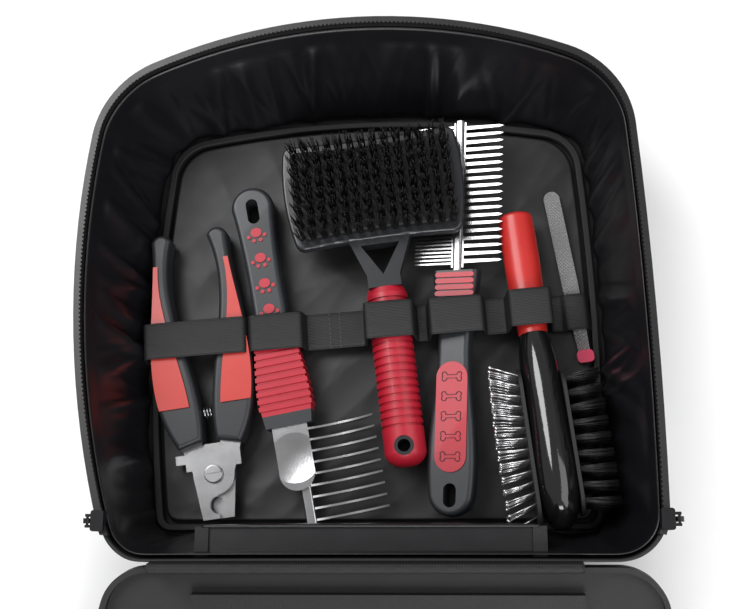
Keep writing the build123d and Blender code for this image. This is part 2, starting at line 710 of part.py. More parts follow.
STACK = JAW + JAW_GAP
GUARD_LOW = -STACK - GUARD_GAP - GUARD
with BuildPart() as clipper_screw:
    with Locations((0, 0, GUARD_LOW)):
        Cylinder(SCREW_RADIUS, STACK + JAW_GAP - GUARD_LOW, align=(Align.CENTER, Align.CENTER, Align.MIN))
    with Locations((0, 0, STACK + JAW_GAP)):
        Cylinder(SCREW_HEAD_RADIUS, SCREW_HEAD, align=(Align.CENTER, Align.CENTER, Align.MIN))
    fillet(clipper_screw.faces().sort_by(Axis.Z)[-1].edges(), SCREW_HEAD / 3)
    with Locations((0, 0, STACK + JAW_GAP + SCREW_HEAD)):
        Box(2 * SCREW_HEAD_RADIUS, SCREW_HEAD / 2, SCREW_HEAD / 2, mode=Mode.SUBTRACT)
save(clipper_screw.part, "clipper_screw", clipper_place)

with BuildPart() as clipper_nut:
    with BuildSketch(Plane.XY.offset(GUARD_LOW)):
        RegularPolygon(SCREW_HEAD_RADIUS, 6)
    extrude(amount=-SCREW_HEAD)
save(clipper_nut.part, "clipper_nut", clipper_place)

with BuildPart() as clipper_guard:
    with BuildSketch(Plane.XY.offset(GUARD_LOW + GUARD_GAP / 2)):
        SlotCenterPoint((0, -GUARD_REACH / 4), (0, -GUARD_REACH / 2 - GUARD_TIP), 2 * GUARD_HALF)
        with Locations((-(GUARD_TAB + GUARD_RIM) / 2, GUARD_TAB_Y)):
            Rectangle(GUARD_TAB, GUARD_TAB_WIDTH)
        Circle(SCREW_HEAD_RADIUS + GUARD_RIM)
        Circle(SCREW_RADIUS + SCREW_CLEARANCE, mode=Mode.SUBTRACT)
    extrude(amount=GUARD)
save(clipper_guard.part, "clipper_guard", clipper_place)

coil = SPRING_TURNS * SPRING_PITCH
with BuildPart() as clipper_spring:
    with BuildLine():
        turns = Helix(SPRING_PITCH, coil, SPRING_RADIUS)
        start, finish = turns @ 0, turns @ 1
        lead_in = Line(start - (turns % 0) * 2 * SPRING_WIRE, start)
        lead_out = Line(finish, finish + (turns % 1) * 2 * SPRING_WIRE)
    spring_line = Wire([lead_in, turns, lead_out])
    with BuildSketch(Plane(origin=lead_in @ 0, z_dir=lead_in % 0)):
        Circle(SPRING_WIRE)
    sweep(path=spring_line, is_frenet=True)
save(clipper_spring.part, "clipper_spring", clipper_place * Location((-coil / 2, SPRING_Y, 0), (0, 90, 0)))

# The spring's least gap to itself, on points along its middle line half a turn or more apart
samples = [spring_line @ (index / SPRING_SAMPLES) for index in range(SPRING_SAMPLES + 1)]
half_turn = math.floor(SPRING_SAMPLES / SPRING_TURNS / 2)
least = min((a - b).length for index, a in enumerate(samples) for b in samples[index + half_turn:])
print(f"clipper_spring least gap to itself {least - 2 * SPRING_WIRE:.3f} mm")

# Dematting rake
rake_place = lying(RAKE_PLACE, RAKE_ANGLE)


def rake_outline(low, high, grow=0.0):
    """The handle's outline from low to high along the handle, wider by grow."""
    with BuildSketch() as sketch:
        with BuildLine():
            Spline(
                (RAKE_HALF_GRIP - 1.2 + grow, 0),
                (RAKE_HALF_GRIP + grow, RAKE_COLLAR * 2),
                (RAKE_HALF_WAIST + 0.6 + grow, RAKE_GRIP_END),
                (RAKE_HALF_WAIST + grow, RAKE_GRIP_END * 1.4),
                (RAKE_HALF_TOP + grow, RAKE_HOLE_Y),
            )
            ThreePointArc((RAKE_HALF_TOP + grow, RAKE_HOLE_Y), (0, RAKE_LENGTH), (-RAKE_HALF_TOP - grow, RAKE_HOLE_Y))
            Spline(
                (-RAKE_HALF_TOP - grow, RAKE_HOLE_Y),
                (-RAKE_HALF_WAIST - grow, RAKE_GRIP_END * 1.4),
                (-RAKE_HALF_WAIST - 0.6 - grow, RAKE_GRIP_END),
                (-RAKE_HALF_GRIP - grow, RAKE_COLLAR * 2),
                (-RAKE_HALF_GRIP + 1.2 - grow, 0),
            )
            Line((-RAKE_HALF_GRIP + 1.2 - grow, 0), (RAKE_HALF_GRIP - 1.2 + grow, 0))
        make_face()
        with Locations((0, (low + high) / 2)):
            Rectangle(4 * RAKE_HALF_GRIP, high - low, mode=Mode.INTERSECT)
    return sketch.sketch


with BuildPart() as rake_handle:
    with BuildSketch():
        add(rake_outline(RAKE_GRIP_END, RAKE_LENGTH))
    extrude(amount=RAKE_THICKNESS / 2, both=True)
    fillet(rake_handle.edges().filter_by(Axis.Z, reverse=True).filter_by(Axis.X, reverse=True), RAKE_EDGE)
    with BuildSketch():
        with Locations((0, RAKE_HOLE_Y)):
            SlotOverall(RAKE_HOLE[1], RAKE_HOLE[0], rotation=90)
    extrude(amount=RAKE_THICKNESS, both=True, mode=Mode.SUBTRACT)
save(rake_handle.part, "rake_handle", rake_place)

with BuildPart() as rake_grip:
    with BuildSketch():
        add(rake_outline(RAKE_COLLAR, RAKE_GRIP_END))
    extrude(amount=RAKE_THICKNESS / 2, both=True)
    for index in range(RAKE_RIBS):
        rib = RAKE_COLLAR + RAKE_RIB_PITCH * (index + 0.7)
        with BuildSketch():
            add(rake_outline(rib, rib + RAKE_RIB_WIDTH, RAKE_RIB_RISE))
        extrude(amount=RAKE_THICKNESS / 2 + RAKE_RIB_RISE, both=True)
save(rake_grip.part, "rake_grip", rake_place)

with BuildPart() as rake_collar:
    with BuildSketch():
        add(rake_outline(0, RAKE_COLLAR))
    extrude(amount=RAKE_THICKNESS / 2, both=True)
save(rake_collar.part, "rake_collar", rake_place)

with BuildPart() as rake_paw_inlays:
    for index in range(PAW_COUNT):
        with BuildSketch(Plane.XY.offset(RAKE_THICKNESS / 2)):
            with Locations((0, PAW_START + PAW_PITCH * index)):
                Ellipse(PAW_PAD_RADIUS * 1.15, PAW_PAD_RADIUS)
                with PolarLocations(PAW_TOE_REACH, 4, start_angle=204, angular_range=132, endpoint=True):
                    Circle(PAW_TOE_RADIUS)
        extrude(amount=PAW_RISE)
save(rake_paw_inlays.part, "rake_paw_inlays", rake_place)

with BuildPart() as rake_thumb_rest:
    with BuildSketch(Plane.XY.offset(SHAFT_HEIGHT / 2)):
        with Locations((0, (SPOON_WIDTH / 2 - SPOON_LENGTH) / 2)):
            Rectangle(SPOON_WIDTH, SPOON_LENGTH - SPOON_WIDTH / 2)
        with Locations((0, SPOON_WIDTH / 2 - SPOON_LENGTH)):
            Circle(SPOON_WIDTH / 2)
    extrude(amount=SPOON)
    with Locations((0, -SPOON_LENGTH / 2, SHAFT_HEIGHT / 2 + SPOON + SPOON_RADIUS - SPOON_DISH)):
        Sphere(SPOON_RADIUS, mode=Mode.SUBTRACT)
save(rake_thumb_rest.part, "rake_thumb_rest", rake_place)

with BuildPart() as rake_shaft:
    with Locations((SHAFT_WIDTH / 2, 0, 0)):
        Box(SHAFT_WIDTH, SHAFT_LENGTH, SHAFT_HEIGHT, align=(Align.CENTER, Align.MAX, Align.CENTER))
    fillet(rake_shaft.edges().filter_by(Axis.Y), SHAFT_WIDTH / 5)
save(rake_shaft.part, "rake_shaft", rake_place)

with BuildPart() as rake_blades:
    for index in range(BLADES):
        with BuildSketch(Plane.XZ.offset(BLADE_FIRST + BLADE_PITCH * index - 3 * BLADE)):
            with BuildLine():
                Line((SHAFT_WIDTH, BLADE_HALF * 0.6), (SHAFT_WIDTH, -BLADE_HALF * 0.6))
                Line((SHAFT_WIDTH, -BLADE_HALF * 0.6), (BLADE_REACH * 0.6, -BLADE_HALF))
                ThreePointArc(
                    (BLADE_REACH * 0.6, -BLADE_HALF),
                    (BLADE_REACH * 0.9, -BLADE_HALF * 0.2),
                    (BLADE_REACH, BLADE_TIP_RISE),
                )
                ThreePointArc(
                    (BLADE_REACH, BLADE_TIP_RISE),
                    (BLADE_REACH * 0.82, BLADE_HALF * 0.7),
                    (SHAFT_WIDTH, BLADE_HALF * 0.6),
                )
            make_face()
        extrude(amount=-BLADE)
save(rake_blades.part, "rake_blades", rake_place)

# Bristle brush
brush_place = lying(BRUSH_PLACE, BRUSH_ANGLE)


def head_outline(inset=0.0):
    """The brush head: bulging sides, hollow top and bottom edges, rounded corners."""
    top, bottom, half = HEAD_TOP / 2 - inset, HEAD_BOTTOM / 2 - inset, HEAD_LENGTH / 2 - inset
    with BuildSketch() as sketch:
        with BuildLine():
            ThreePointArc((-bottom, -half), (0, -half + HEAD_HOLLOW), (bottom, -half))
            ThreePointArc((bottom, -half), (top + HEAD_BULGE, 0), (top, half))
            ThreePointArc((top, half), (0, half - HEAD_HOLLOW), (-top, half))
            ThreePointArc((-top, half), (-top - HEAD_BULGE, 0), (-bottom, -half))
        make_face()
        fillet(sketch.vertices(), max(HEAD_RADIUS - inset / 2, 1.0))
    return sketch.sketch


with BuildPart() as brush_head:
    with BuildSketch(Plane.XY.offset(HEAD_Z)):
        add(head_outline())
    extrude(amount=HEAD_THICKNESS)
    fillet(brush_head.edges().filter_by(Axis.Z, reverse=True), HEAD_THICKNESS / 4)
    with BuildSketch(Plane.XY.offset(HEAD_Z + HEAD_THICKNESS - 1.0)):
        with BuildLine():
            Polyline(
                (-NECK_HALF, -HEAD_LENGTH / 2 + 2 * HEAD_HOLLOW),
                (NECK_HALF, -HEAD_LENGTH / 2 + 2 * HEAD_HOLLOW),
                (NECK_END_HALF, -NECK_END + NECK_ARM),
                (NECK_END_HALF, -NECK_END),
                (-NECK_END_HALF, -NECK_END),
                (-NECK_END_HALF, -NECK_END + NECK_ARM),
                close=True,
            )
        make_face()
        with BuildLine():
            Polyline(
                (-NECK_HALF + NECK_ARM, -HEAD_LENGTH / 2 - 1.0),
                (NECK_HALF - NECK_ARM, -HEAD_LENGTH / 2 - 1.0),
                (0, -NECK_END + NECK_ARM),
                close=True,
            )
        make_face(mode=Mode.SUBTRACT)
    extrude(amount=-NECK_THICKNESS)
    with BuildSketch(Plane.XZ.offset(BRUSH_GRIP_START)):
        Circle(NECK_END_HALF)
    extrude(amount=2.0)
save(brush_head.part, "brush_head", brush_place)

PAD_Z = HEAD_Z + HEAD_THICKNESS
with BuildPart() as brush_pad:
    with BuildSketch(Plane.XY.offset(PAD_Z)):
        add(head_outline(PAD_INSET))
    extrude(amount=PAD_THICKNESS)
    fillet(brush_pad.faces().sort_by(Axis.Z)[-1].edges(), PAD_THICKNESS / 2)
save(brush_pad.part, "brush_pad", brush_place)

with BuildPart() as brush_bristles:
    with BuildSketch(Plane.XY.offset(PAD_Z + PAD_THICKNESS)):
        with GridLocations(BRUSH_ROW_PITCH, BRUSH_ROW_PITCH, BRUSH_COLUMNS, BRUSH_ROWS):
            Rectangle(BRUSH_BRISTLE, BRUSH_BRISTLE)
    extrude(amount=BRUSH_BRISTLE_LENGTH)
    with Locations((0, 0, PAD_Z + PAD_THICKNESS)):
        Box(
            BRUSH_ROW_PITCH * BRUSH_COLUMNS,
            BRUSH_ROW_PITCH * (BRUSH_ROWS - 0.5),
            BRUSH_BACKING,
            align=(Align.CENTER, Align.CENTER, Align.MIN),
        )
save(brush_bristles.part, "brush_bristles", brush_place)

with BuildPart() as brush_grip:
    with BuildSketch(Plane.XY):
        with BuildLine():
            Polyline(
                (0, -NECK_END),
                (BRUSH_GRIP_RADIUS * 0.9, -NECK_END),
                (BRUSH_GRIP_RADIUS, -NECK_END - BRUSH_GRIP_SHOULDER),
                (BRUSH_GRIP_RADIUS, -BRUSH_GRIP_END + BRUSH_GRIP_RADIUS * 0.6),
            )
            ThreePointArc(
                (BRUSH_GRIP_RADIUS, -BRUSH_GRIP_END + BRUSH_GRIP_RADIUS * 0.6),
                (BRUSH_GRIP_RADIUS * 0.75, -BRUSH_GRIP_END + BRUSH_GRIP_RADIUS * 0.2),
                (0, -BRUSH_GRIP_END),
            )
            Line((0, -BRUSH_GRIP_END), (0, -NECK_END))
        make_face()
        for index in range(BRUSH_GROOVES):
            with Locations((BRUSH_GRIP_RADIUS, -NECK_END - BRUSH_GROOVE_START - BRUSH_GROOVE_PITCH * index)):
                Rectangle(2 * BRUSH_GROOVE, BRUSH_GROOVE_PITCH * 0.4, mode=Mode.SUBTRACT)
    revolve(axis=Axis.Y)
    with Locations((0, -BRUSH_HOLE_Y, 0)):
        Cylinder(GROMMET_RADIUS, 4 * BRUSH_GRIP_RADIUS, mode=Mode.SUBTRACT)
save(brush_grip.part, "brush_grip", brush_place)

with BuildPart() as brush_grommet:
    with Locations((0, -BRUSH_HOLE_Y, 0)):
        Cylinder(GROMMET_RADIUS, 2 * GROMMET_HALF)
        Cylinder(GROMMET_HOLE, 2 * GROMMET_HALF, mode=Mode.SUBTRACT)
save(brush_grommet.part, "brush_grommet", brush_place)

# Two-sided comb
comb_place = lying(COMB_PLACE, COMB_ANGLE, roll=COMB_ROLL)

with BuildPart() as comb_spine:
    with Locations((0, -COMB_COLLAR / 2, 0)):
        Box(
            2 * COMB_SPINE_HALF,
            COMB_SPINE_LENGTH + COMB_COLLAR / 2,
            2 * COMB_SPINE_HALF,
            align=(Align.CENTER, Align.MIN, Align.CENTER),
        )
    fillet(comb_spine.edges().filter_by(Axis.Y), COMB_SPINE_HALF * 0.6)
save(comb_spine.part, "comb_spine", comb_place)


def tines(side, count, pitch, root):
    """The tines of one side of the comb, as flat tapered bars."""
    first = (COMB_SPINE_LENGTH - pitch * (count - 1)) / 2 + 1.0
    with BuildPart() as rake:
        with BuildSketch():
            for index in range(count):
                y = first + pitch * index
                with BuildLine():
                    Polyline(
                        (side * (COMB_SPINE_HALF - 0.2), y - root / 2),
                        (side * (COMB_TINE_REACH - root), y - root / 3),
                        (side * COMB_TINE_REACH, y),
                        (side * (COMB_TINE_REACH - root), y + root / 3),
                        (side * (COMB_SPINE_HALF - 0.2), y + root / 2),
                        close=True,
                    )
                make_face()
            with Locations((side * (COMB_SPINE_HALF + 0.3), COMB_SPINE_LENGTH / 2 + 1.0)):
                Rectangle(1.0, COMB_SPINE_LENGTH - 3.0)
        extrude(amount=COMB_TINE / 2, both=True)
        add(comb_spine.part, mode=Mode.SUBTRACT)
    return rake.part


save(tines(1, COMB_COARSE, COMB_COARSE_PITCH, COMB_COARSE_ROOT), "comb_coarse_tines", comb_place)
save(tines(-1, COMB_FINE, COMB_FINE_PITCH, COMB_FINE_ROOT), "comb_fine_tines", comb_place)


def comb_outline():
    """The comb's handle: a wide collar end, a waist and a wide rounded end."""
    with BuildSketch() as sketch:
        with BuildLine():
            Spline(
                (COMB_COLLAR_HALF, 0),
                (COMB_COLLAR_HALF * 0.92, -COMB_COLLAR * 1.5),
                (COMB_NECK_HALF, -COMB_NECK_Y),
                (COMB_HALF, -INLAY_Y - 5.0),
                (COMB_HALF, -COMB_HOLE_Y),
            )
            ThreePointArc((COMB_HALF, -COMB_HOLE_Y), (0, -COMB_LENGTH), (-COMB_HALF, -COMB_HOLE_Y))
            Spline(
                (-COMB_HALF, -COMB_HOLE_Y),
                (-COMB_HALF, -INLAY_Y - 5.0),
                (-COMB_NECK_HALF, -COMB_NECK_Y),
                (-COMB_COLLAR_HALF * 0.92, -COMB_COLLAR * 1.5),
                (-COMB_COLLAR_HALF, 0),
            )
            Line((-COMB_COLLAR_HALF, 0), (COMB_COLLAR_HALF, 0))
        make_face()
    return sketch.sketch


with BuildPart() as comb_handle:
    with BuildSketch():
        add(comb_outline())
    extrude(amount=COMB_THICKNESS / 2, both=True)
    fillet(comb_handle.edges().filter_by(Axis.Z, reverse=True).filter_by(Axis.X, reverse=True), COMB_EDGE)
    with BuildSketch():
        with Locations((0, -COMB_HOLE_Y)):
            SlotOverall(COMB_HOLE[1], COMB_HOLE[0], rotation=90)
    extrude(amount=COMB_THICKNESS, both=True, mode=Mode.SUBTRACT)
    add(comb_spine.part, mode=Mode.SUBTRACT)
save(comb_handle.part, "comb_handle", comb_place)

with BuildPart() as comb_inlay:
    with BuildSketch(Plane.XY.offset(COMB_THICKNESS / 2)):
        with Locations((0, -INLAY_Y)):
            SlotOverall(INLAY_LENGTH, INLAY_WIDTH, rotation=90)
    extrude(amount=INLAY_RISE)
    with BuildSketch(Plane.XY.offset(COMB_THICKNESS / 2 + INLAY_RISE)):
        with Locations((0, -COMB_RIB_Y)):
            with GridLocations(1, COMB_RIB_PITCH, 1, COMB_RIBS):
                SlotOverall(COMB_RIB_LENGTH, COMB_RIB_WIDTH)
    extrude(amount=-INLAY_RISE - COMB_EDGE / 2)
    add(comb_handle.part, mode=Mode.SUBTRACT)
save(comb_inlay.part, "comb_inlay", comb_place)

# Two-sided brush, its thickness along X because it lies on its edge
duo_place = lying(DUO_PLACE, DUO_ANGLE, pitch=DUO_PITCH)


with BuildPart() as duo_body:
    for share, wide, tall in DUO_BODY_SHAPE:
        with BuildSketch(Plane.XZ.offset(DUO_BODY_LENGTH * share)):
            Ellipse(DUO_BODY_BULGE * wide, DUO_BODY_HALF_HEIGHT * tall)
    loft()

for side, label in ((-1, "duo_pin_side"), (1, "duo_bristle_side")):
    with BuildPart() as duo_half:
        add(duo_body.part)
        Box(
            DUO_BODY_HALF,
            4 * DUO_BODY_LENGTH,
            4 * DUO_BODY_HALF_HEIGHT,
            align=(Align.MAX if side < 0 else Align.MIN, Align.CENTER, Align.CENTER),
            mode=Mode.INTERSECT,
        )
    save(duo_half.part, label, duo_place)

for side, label, columns, rows, pitch, length in (
    (-1, "duo_pins", DUO_PIN_COLUMNS, DUO_PIN_ROWS, DUO_PIN_PITCH, DUO_PIN_LENGTH),
    (1, "duo_bristles", DUO_BRISTLE_COLUMNS, DUO_BRISTLE_ROWS, DUO_BRISTLE_PITCH, DUO_BRISTLE_LENGTH),
):
    with BuildPart() as duo_cushion:
        with BuildSketch(Plane.YZ.offset(side * DUO_BODY_HALF)):
            with Locations((-DUO_BODY_LENGTH / 2 - DUO_STRAND_SHIFT, 0)):
                SlotOverall(pitch[0] * columns + 2 * DUO_CUSHION_ROOM, 2 * DUO_CUSHION_HALF)
        extrude(amount=side * DUO_CUSHION)
    save(duo_cushion.part, "duo_pin_cushion" if side < 0 else "duo_bristle_pad", duo_place)
    with BuildPart() as duo_strands:
        with BuildSketch(Plane.YZ.offset(side * (DUO_BODY_HALF + DUO_CUSHION))):
            with Locations((-DUO_BODY_LENGTH / 2 - DUO_STRAND_SHIFT, 0)):
                with GridLocations(*pitch, columns, rows):
                    Rectangle(DUO_PIN, DUO_PIN)
        extrude(amount=side * length)
        with BuildSketch(Plane.YZ.offset(side * (DUO_BODY_HALF + DUO_CUSHION))):
            with Locations((-DUO_BODY_LENGTH / 2 - DUO_STRAND_SHIFT, 0)):
                Rectangle(pitch[0] * (columns - 0.5), pitch[1] * (rows - 0.5))
        extrude(amount=side * DUO_PIN)
    save(duo_strands.part, label, duo_place)

with BuildPart() as duo_grip:
    for y, half in ((0.0, DUO_GRIP_NECK_HALF), (DUO_GRIP_LENGTH * 0.45, DUO_GRIP_HALF), (DUO_GRIP_LENGTH, DUO_GRIP_HALF)):
        with BuildSketch(Plane.XZ.offset(-y)):
            Ellipse(half, DUO_GRIP_HALF_HEIGHT)
    loft()
save(duo_grip.part, "duo_grip", duo_place)

with BuildPart() as duo_cap:
    with BuildSketch(Plane.XZ.offset(-DUO_GRIP_LENGTH)):
        Ellipse(DUO_GRIP_HALF, DUO_GRIP_HALF_HEIGHT)
    extrude(amount=-DUO_CAP_LENGTH)
    fillet(duo_cap.faces().sort_by(Axis.Y)[-1].edges(), DUO_CAP_LENGTH * 0.7)
save(duo_cap.part, "duo_cap", duo_place)

# Nail file
file_place = lying(FILE_PLACE, FILE_ANGLE)

with BuildPart() as file_blade:
    with BuildSketch():
        with BuildLine():
            Polyline(
                (-FILE_WIDTH / 2, -FILE_WIDTH / 2),
                (-FILE_WIDTH / 2, -FILE_LENGTH * 0.6),
                (-FILE_END_WIDTH / 2, -FILE_LENGTH),
                (FILE_END_WIDTH / 2, -FILE_LENGTH),
                (FILE_WIDTH / 2, -FILE_LENGTH * 0.6),
                (FILE_WIDTH / 2, -FILE_WIDTH / 2),
            )
            ThreePointArc((FILE_WIDTH / 2, -FILE_WIDTH / 2), (0, 0), (-FILE_WIDTH / 2, -FILE_WIDTH / 2))
        make_face()
    extrude(amount=FILE)
save(file_blade.part, "file_blade", file_place)

with BuildPart() as file_handle:
    with Locations((0, -FILE_LENGTH, 0)):
        Box(FILE_HANDLE_WIDTH, FILE_HANDLE_LENGTH, FILE_HANDLE, align=(Align.CENTER, Align.MAX, Align.MIN))
    fillet(file_handle.edges().filter_by(Axis.Z), FILE_HANDLE_WIDTH / 4)
save(file_handle.part, "file_handle", file_place)
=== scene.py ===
"""Looks of the pet grooming kit: cloth, zips, bristles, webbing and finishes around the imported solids."""

import json
import logging
import math
from dataclasses import dataclass, field
from enum import Enum
from typing import Callable, Sequence

import bpy
import numpy as np
from mathutils import Matrix, Vector
from mathutils.bvhtree import BVHTree


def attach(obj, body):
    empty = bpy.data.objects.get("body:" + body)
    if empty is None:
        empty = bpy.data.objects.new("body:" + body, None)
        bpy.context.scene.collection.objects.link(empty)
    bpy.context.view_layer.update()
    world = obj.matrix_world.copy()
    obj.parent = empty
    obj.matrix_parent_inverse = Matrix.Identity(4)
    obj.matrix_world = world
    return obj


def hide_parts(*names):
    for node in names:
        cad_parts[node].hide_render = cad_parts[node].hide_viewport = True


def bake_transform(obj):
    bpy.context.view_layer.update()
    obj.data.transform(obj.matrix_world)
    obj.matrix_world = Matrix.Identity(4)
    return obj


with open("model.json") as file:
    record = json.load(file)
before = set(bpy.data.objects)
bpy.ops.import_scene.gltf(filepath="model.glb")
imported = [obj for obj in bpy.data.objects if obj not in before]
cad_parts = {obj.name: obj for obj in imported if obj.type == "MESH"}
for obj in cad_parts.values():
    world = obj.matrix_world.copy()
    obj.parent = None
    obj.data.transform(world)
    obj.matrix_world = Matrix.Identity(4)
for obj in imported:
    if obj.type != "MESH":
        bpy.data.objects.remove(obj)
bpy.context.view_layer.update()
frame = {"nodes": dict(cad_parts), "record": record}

LOG = logging.getLogger("grooming_kit")
MM = 0.001
SEED = 11
PHASES = 6.28
CENTRE_SHARE = 0.001
FIRST_RING = 0.02
ORIGIN = Vector((0, 0, 0))
UPRIGHT = Matrix.Identity(3)


class Grain(Enum):
    """The fine pattern of a surface."""

    PLAIN = "plain"
    WEAVE = "weave"
    RIB = "rib"
    TAPE = "tape"
    BRUSHED = "brushed"
    CROSSCUT = "crosscut"


class Side(Enum):
    """The side of a wall that is read."""

    INSIDE = "inside"
    OUTSIDE = "outside"


@dataclass(frozen=True)
class Finish:
    """How a surface looks: its colour, gloss and grain."""

    color: tuple[float, float, float]
    roughness: float
    metallic: float = 0.0
    coat: float = 0.0
    grain: Grain = Grain.PLAIN
    pitch: float = 1.0
    relief: float = 0.15
    mottle: float = 0.12

    def shade(self, side: int) -> tuple[float, float, float, float]:
        """Returns the colour at the dark end (-1) or the light end (1) of its mottling."""
        red, green, blue = (min(1.0, c * (1 + side * self.mottle)) for c in self.color)
        return red, green, blue, 1.0


@dataclass(frozen=True)
class Place:
    """Where a tool lies, in millimetres and degrees, as in the solids."""

    at: tuple[float, float, float]
    angle: float
    pitch: float = 0.0
    roll: float = 0.0

    def matrix(self) -> Matrix:
        """Works out the placement.

        Returns:
            The tool's own frame in the shared one, in metres.
        """
        turn = Matrix.Rotation(math.radians(self.angle), 4, "Z")
        pitch = Matrix.Rotation(math.radians(self.pitch), 4, "X")
        roll = Matrix.Rotation(math.radians(self.roll), 4, "Y")
        return Matrix.Translation(Vector(self.at) * MM) @ turn @ (pitch @ roll)


@dataclass(frozen=True)
class Kit:
    """Heights of the case and places of the tools, in millimetres and degrees, as in the solids."""

    rim_z: float = 65.0
    wall_top: float = 55.0
    bed_z: float = 7.0
    hinge_y: float = -126.5
    lid_open: float = 191.351
    lid_board_z: float = 76.1
    pocket_depth: float = 3.6
    clippers: Place = Place((-75.4, -83.5, 15.2), 8.0)
    brush: Place = Place((1.5, 54.3, 19.0), 6.5)
    duo: Place = Place((77.3, -20.0, 22.5), 6.2, -5.0)
    comb: Place = Place((41.9, 13.0, 18.0), -2.3, 0.0, -13.0)
    band_heading: float = 3.9


KIT = Kit()

FINISHES = {
    "case_cloth": Finish((0.0075, 0.0075, 0.0085), 0.60, grain=Grain.WEAVE, pitch=0.9, relief=0.25),
    "lining": Finish((0.0065, 0.0065, 0.0080), 0.31, grain=Grain.WEAVE, pitch=0.5, relief=0.08),
    "panel_cloth": Finish((0.0050, 0.0050, 0.0060), 0.46, grain=Grain.WEAVE, pitch=0.5, relief=0.08),
    "binding": Finish((0.0070, 0.0070, 0.0078), 0.58, grain=Grain.TAPE, pitch=1.1, relief=0.30),
    "zip_tape": Finish((0.0080, 0.0080, 0.0088), 0.60, grain=Grain.TAPE, pitch=0.8, relief=0.25),
    "zip_teeth": Finish((0.0090, 0.0090, 0.0098), 0.40),
    "zip_metal": Finish((0.020, 0.020, 0.022), 0.32, metallic=0.8, coat=0.3),
    "elastic": Finish((0.0085, 0.0085, 0.0092), 0.55, grain=Grain.RIB, pitch=1.5, relief=0.5),
    "blade_steel": Finish((0.46, 0.46, 0.47), 0.25, metallic=1.0, grain=Grain.BRUSHED, relief=0.04),
    "screw_steel": Finish((0.42, 0.42, 0.43), 0.28, metallic=1.0, grain=Grain.BRUSHED, relief=0.04),
    "clipper_plastic": Finish((0.018, 0.019, 0.022), 0.42),
    "clipper_rubber": Finish((0.47, 0.030, 0.022), 0.36, coat=0.15),
    "handle_plastic": Finish((0.020, 0.022, 0.026), 0.42, coat=0.1),
    "red_rubber": Finish((0.40, 0.008, 0.024), 0.42, coat=0.1),
    "head_plastic": Finish((0.014, 0.015, 0.018), 0.34, coat=0.2),
    "pad_rubber": Finish((0.010, 0.010, 0.011), 0.60),
    "bristle": Finish((0.0055, 0.0055, 0.0058), 0.42),
    "pin_steel": Finish((0.62, 0.62, 0.63), 0.22, metallic=0.9),
    "duo_gloss": Finish((0.0060, 0.0060, 0.0066), 0.12, coat=0.6),
    "duo_red": Finish((0.50, 0.020, 0.016), 0.40, coat=0.15),
    "file_steel": Finish((0.62, 0.62, 0.62), 0.36, metallic=0.7, grain=Grain.CROSSCUT, pitch=1.7, relief=0.8),
    "file_plastic": Finish((0.62, 0.045, 0.11), 0.36, coat=0.2),
    "thread": Finish((0.045, 0.045, 0.050), 0.55),
    "mark": Finish((0.008, 0.008, 0.010), 0.45),
    "floor": Finish((0.95, 0.95, 0.95), 0.55, mottle=0.01),
}


class Tree:
    """A node tree that is filled node by node."""

    def __init__(self, tree: bpy.types.NodeTree) -> None:
        """Keeps the tree that the nodes go into."""
        self.tree = tree

    def feed(self, socket: bpy.types.NodeSocket, value: object) -> None:
        """Links an input to a Value or a socket, or sets it where value is neither.

        Args:
            socket: The input.
            value: What it gets.
        """
        if isinstance(value, Value):
            value = value.socket
        if isinstance(value, bpy.types.NodeSocket):
            self.tree.links.new(value, socket)
        else:
            socket.default_value = value

    def add(self, kind: str, settings: dict | None = None, inputs: dict | None = None) -> bpy.types.Node:
        """Adds one node.

        Args:
            kind: The node's type.
            settings: Its properties, which are set first.
            inputs: What each input gets, by its name or number.

        Returns:
            The node.
        """
        node = self.tree.nodes.new(kind)
        for name, setting in (settings or {}).items():
            setattr(node, name, setting)
        for key, value in (inputs or {}).items():
            self.feed(node.inputs[key], value)
        return node


class Value:
    """A node's output that can be used in sums and products."""

    def __init__(self, tree: Tree, socket: bpy.types.NodeSocket) -> None:
        """Keeps the output and the tree that it is in."""
        self.tree = tree
        self.socket = socket

    def _math(self, operation: str, *others: "Value | float") -> "Value":
        """Returns the result of a Math node on this value and the others."""
        node = self.tree.add("ShaderNodeMath", {"operation": operation}, dict(enumerate((self, *others))))
        return Value(self.tree, node.outputs[0])

    def __add__(self, other: "Value | float") -> "Value":
        """Returns the sum."""
        return self._math("ADD", other)

    def __mul__(self, other: "Value | float") -> "Value":
        """Returns the product."""
        return self._math("MULTIPLY", other)

    __radd__ = __add__
    __rmul__ = __mul__

    def sine(self) -> "Value":
        """Returns the sine of the value."""
        return self._math("SINE")

    def absolute(self) -> "Value":
        """Returns the value without its sign."""
        return self._math("ABSOLUTE")


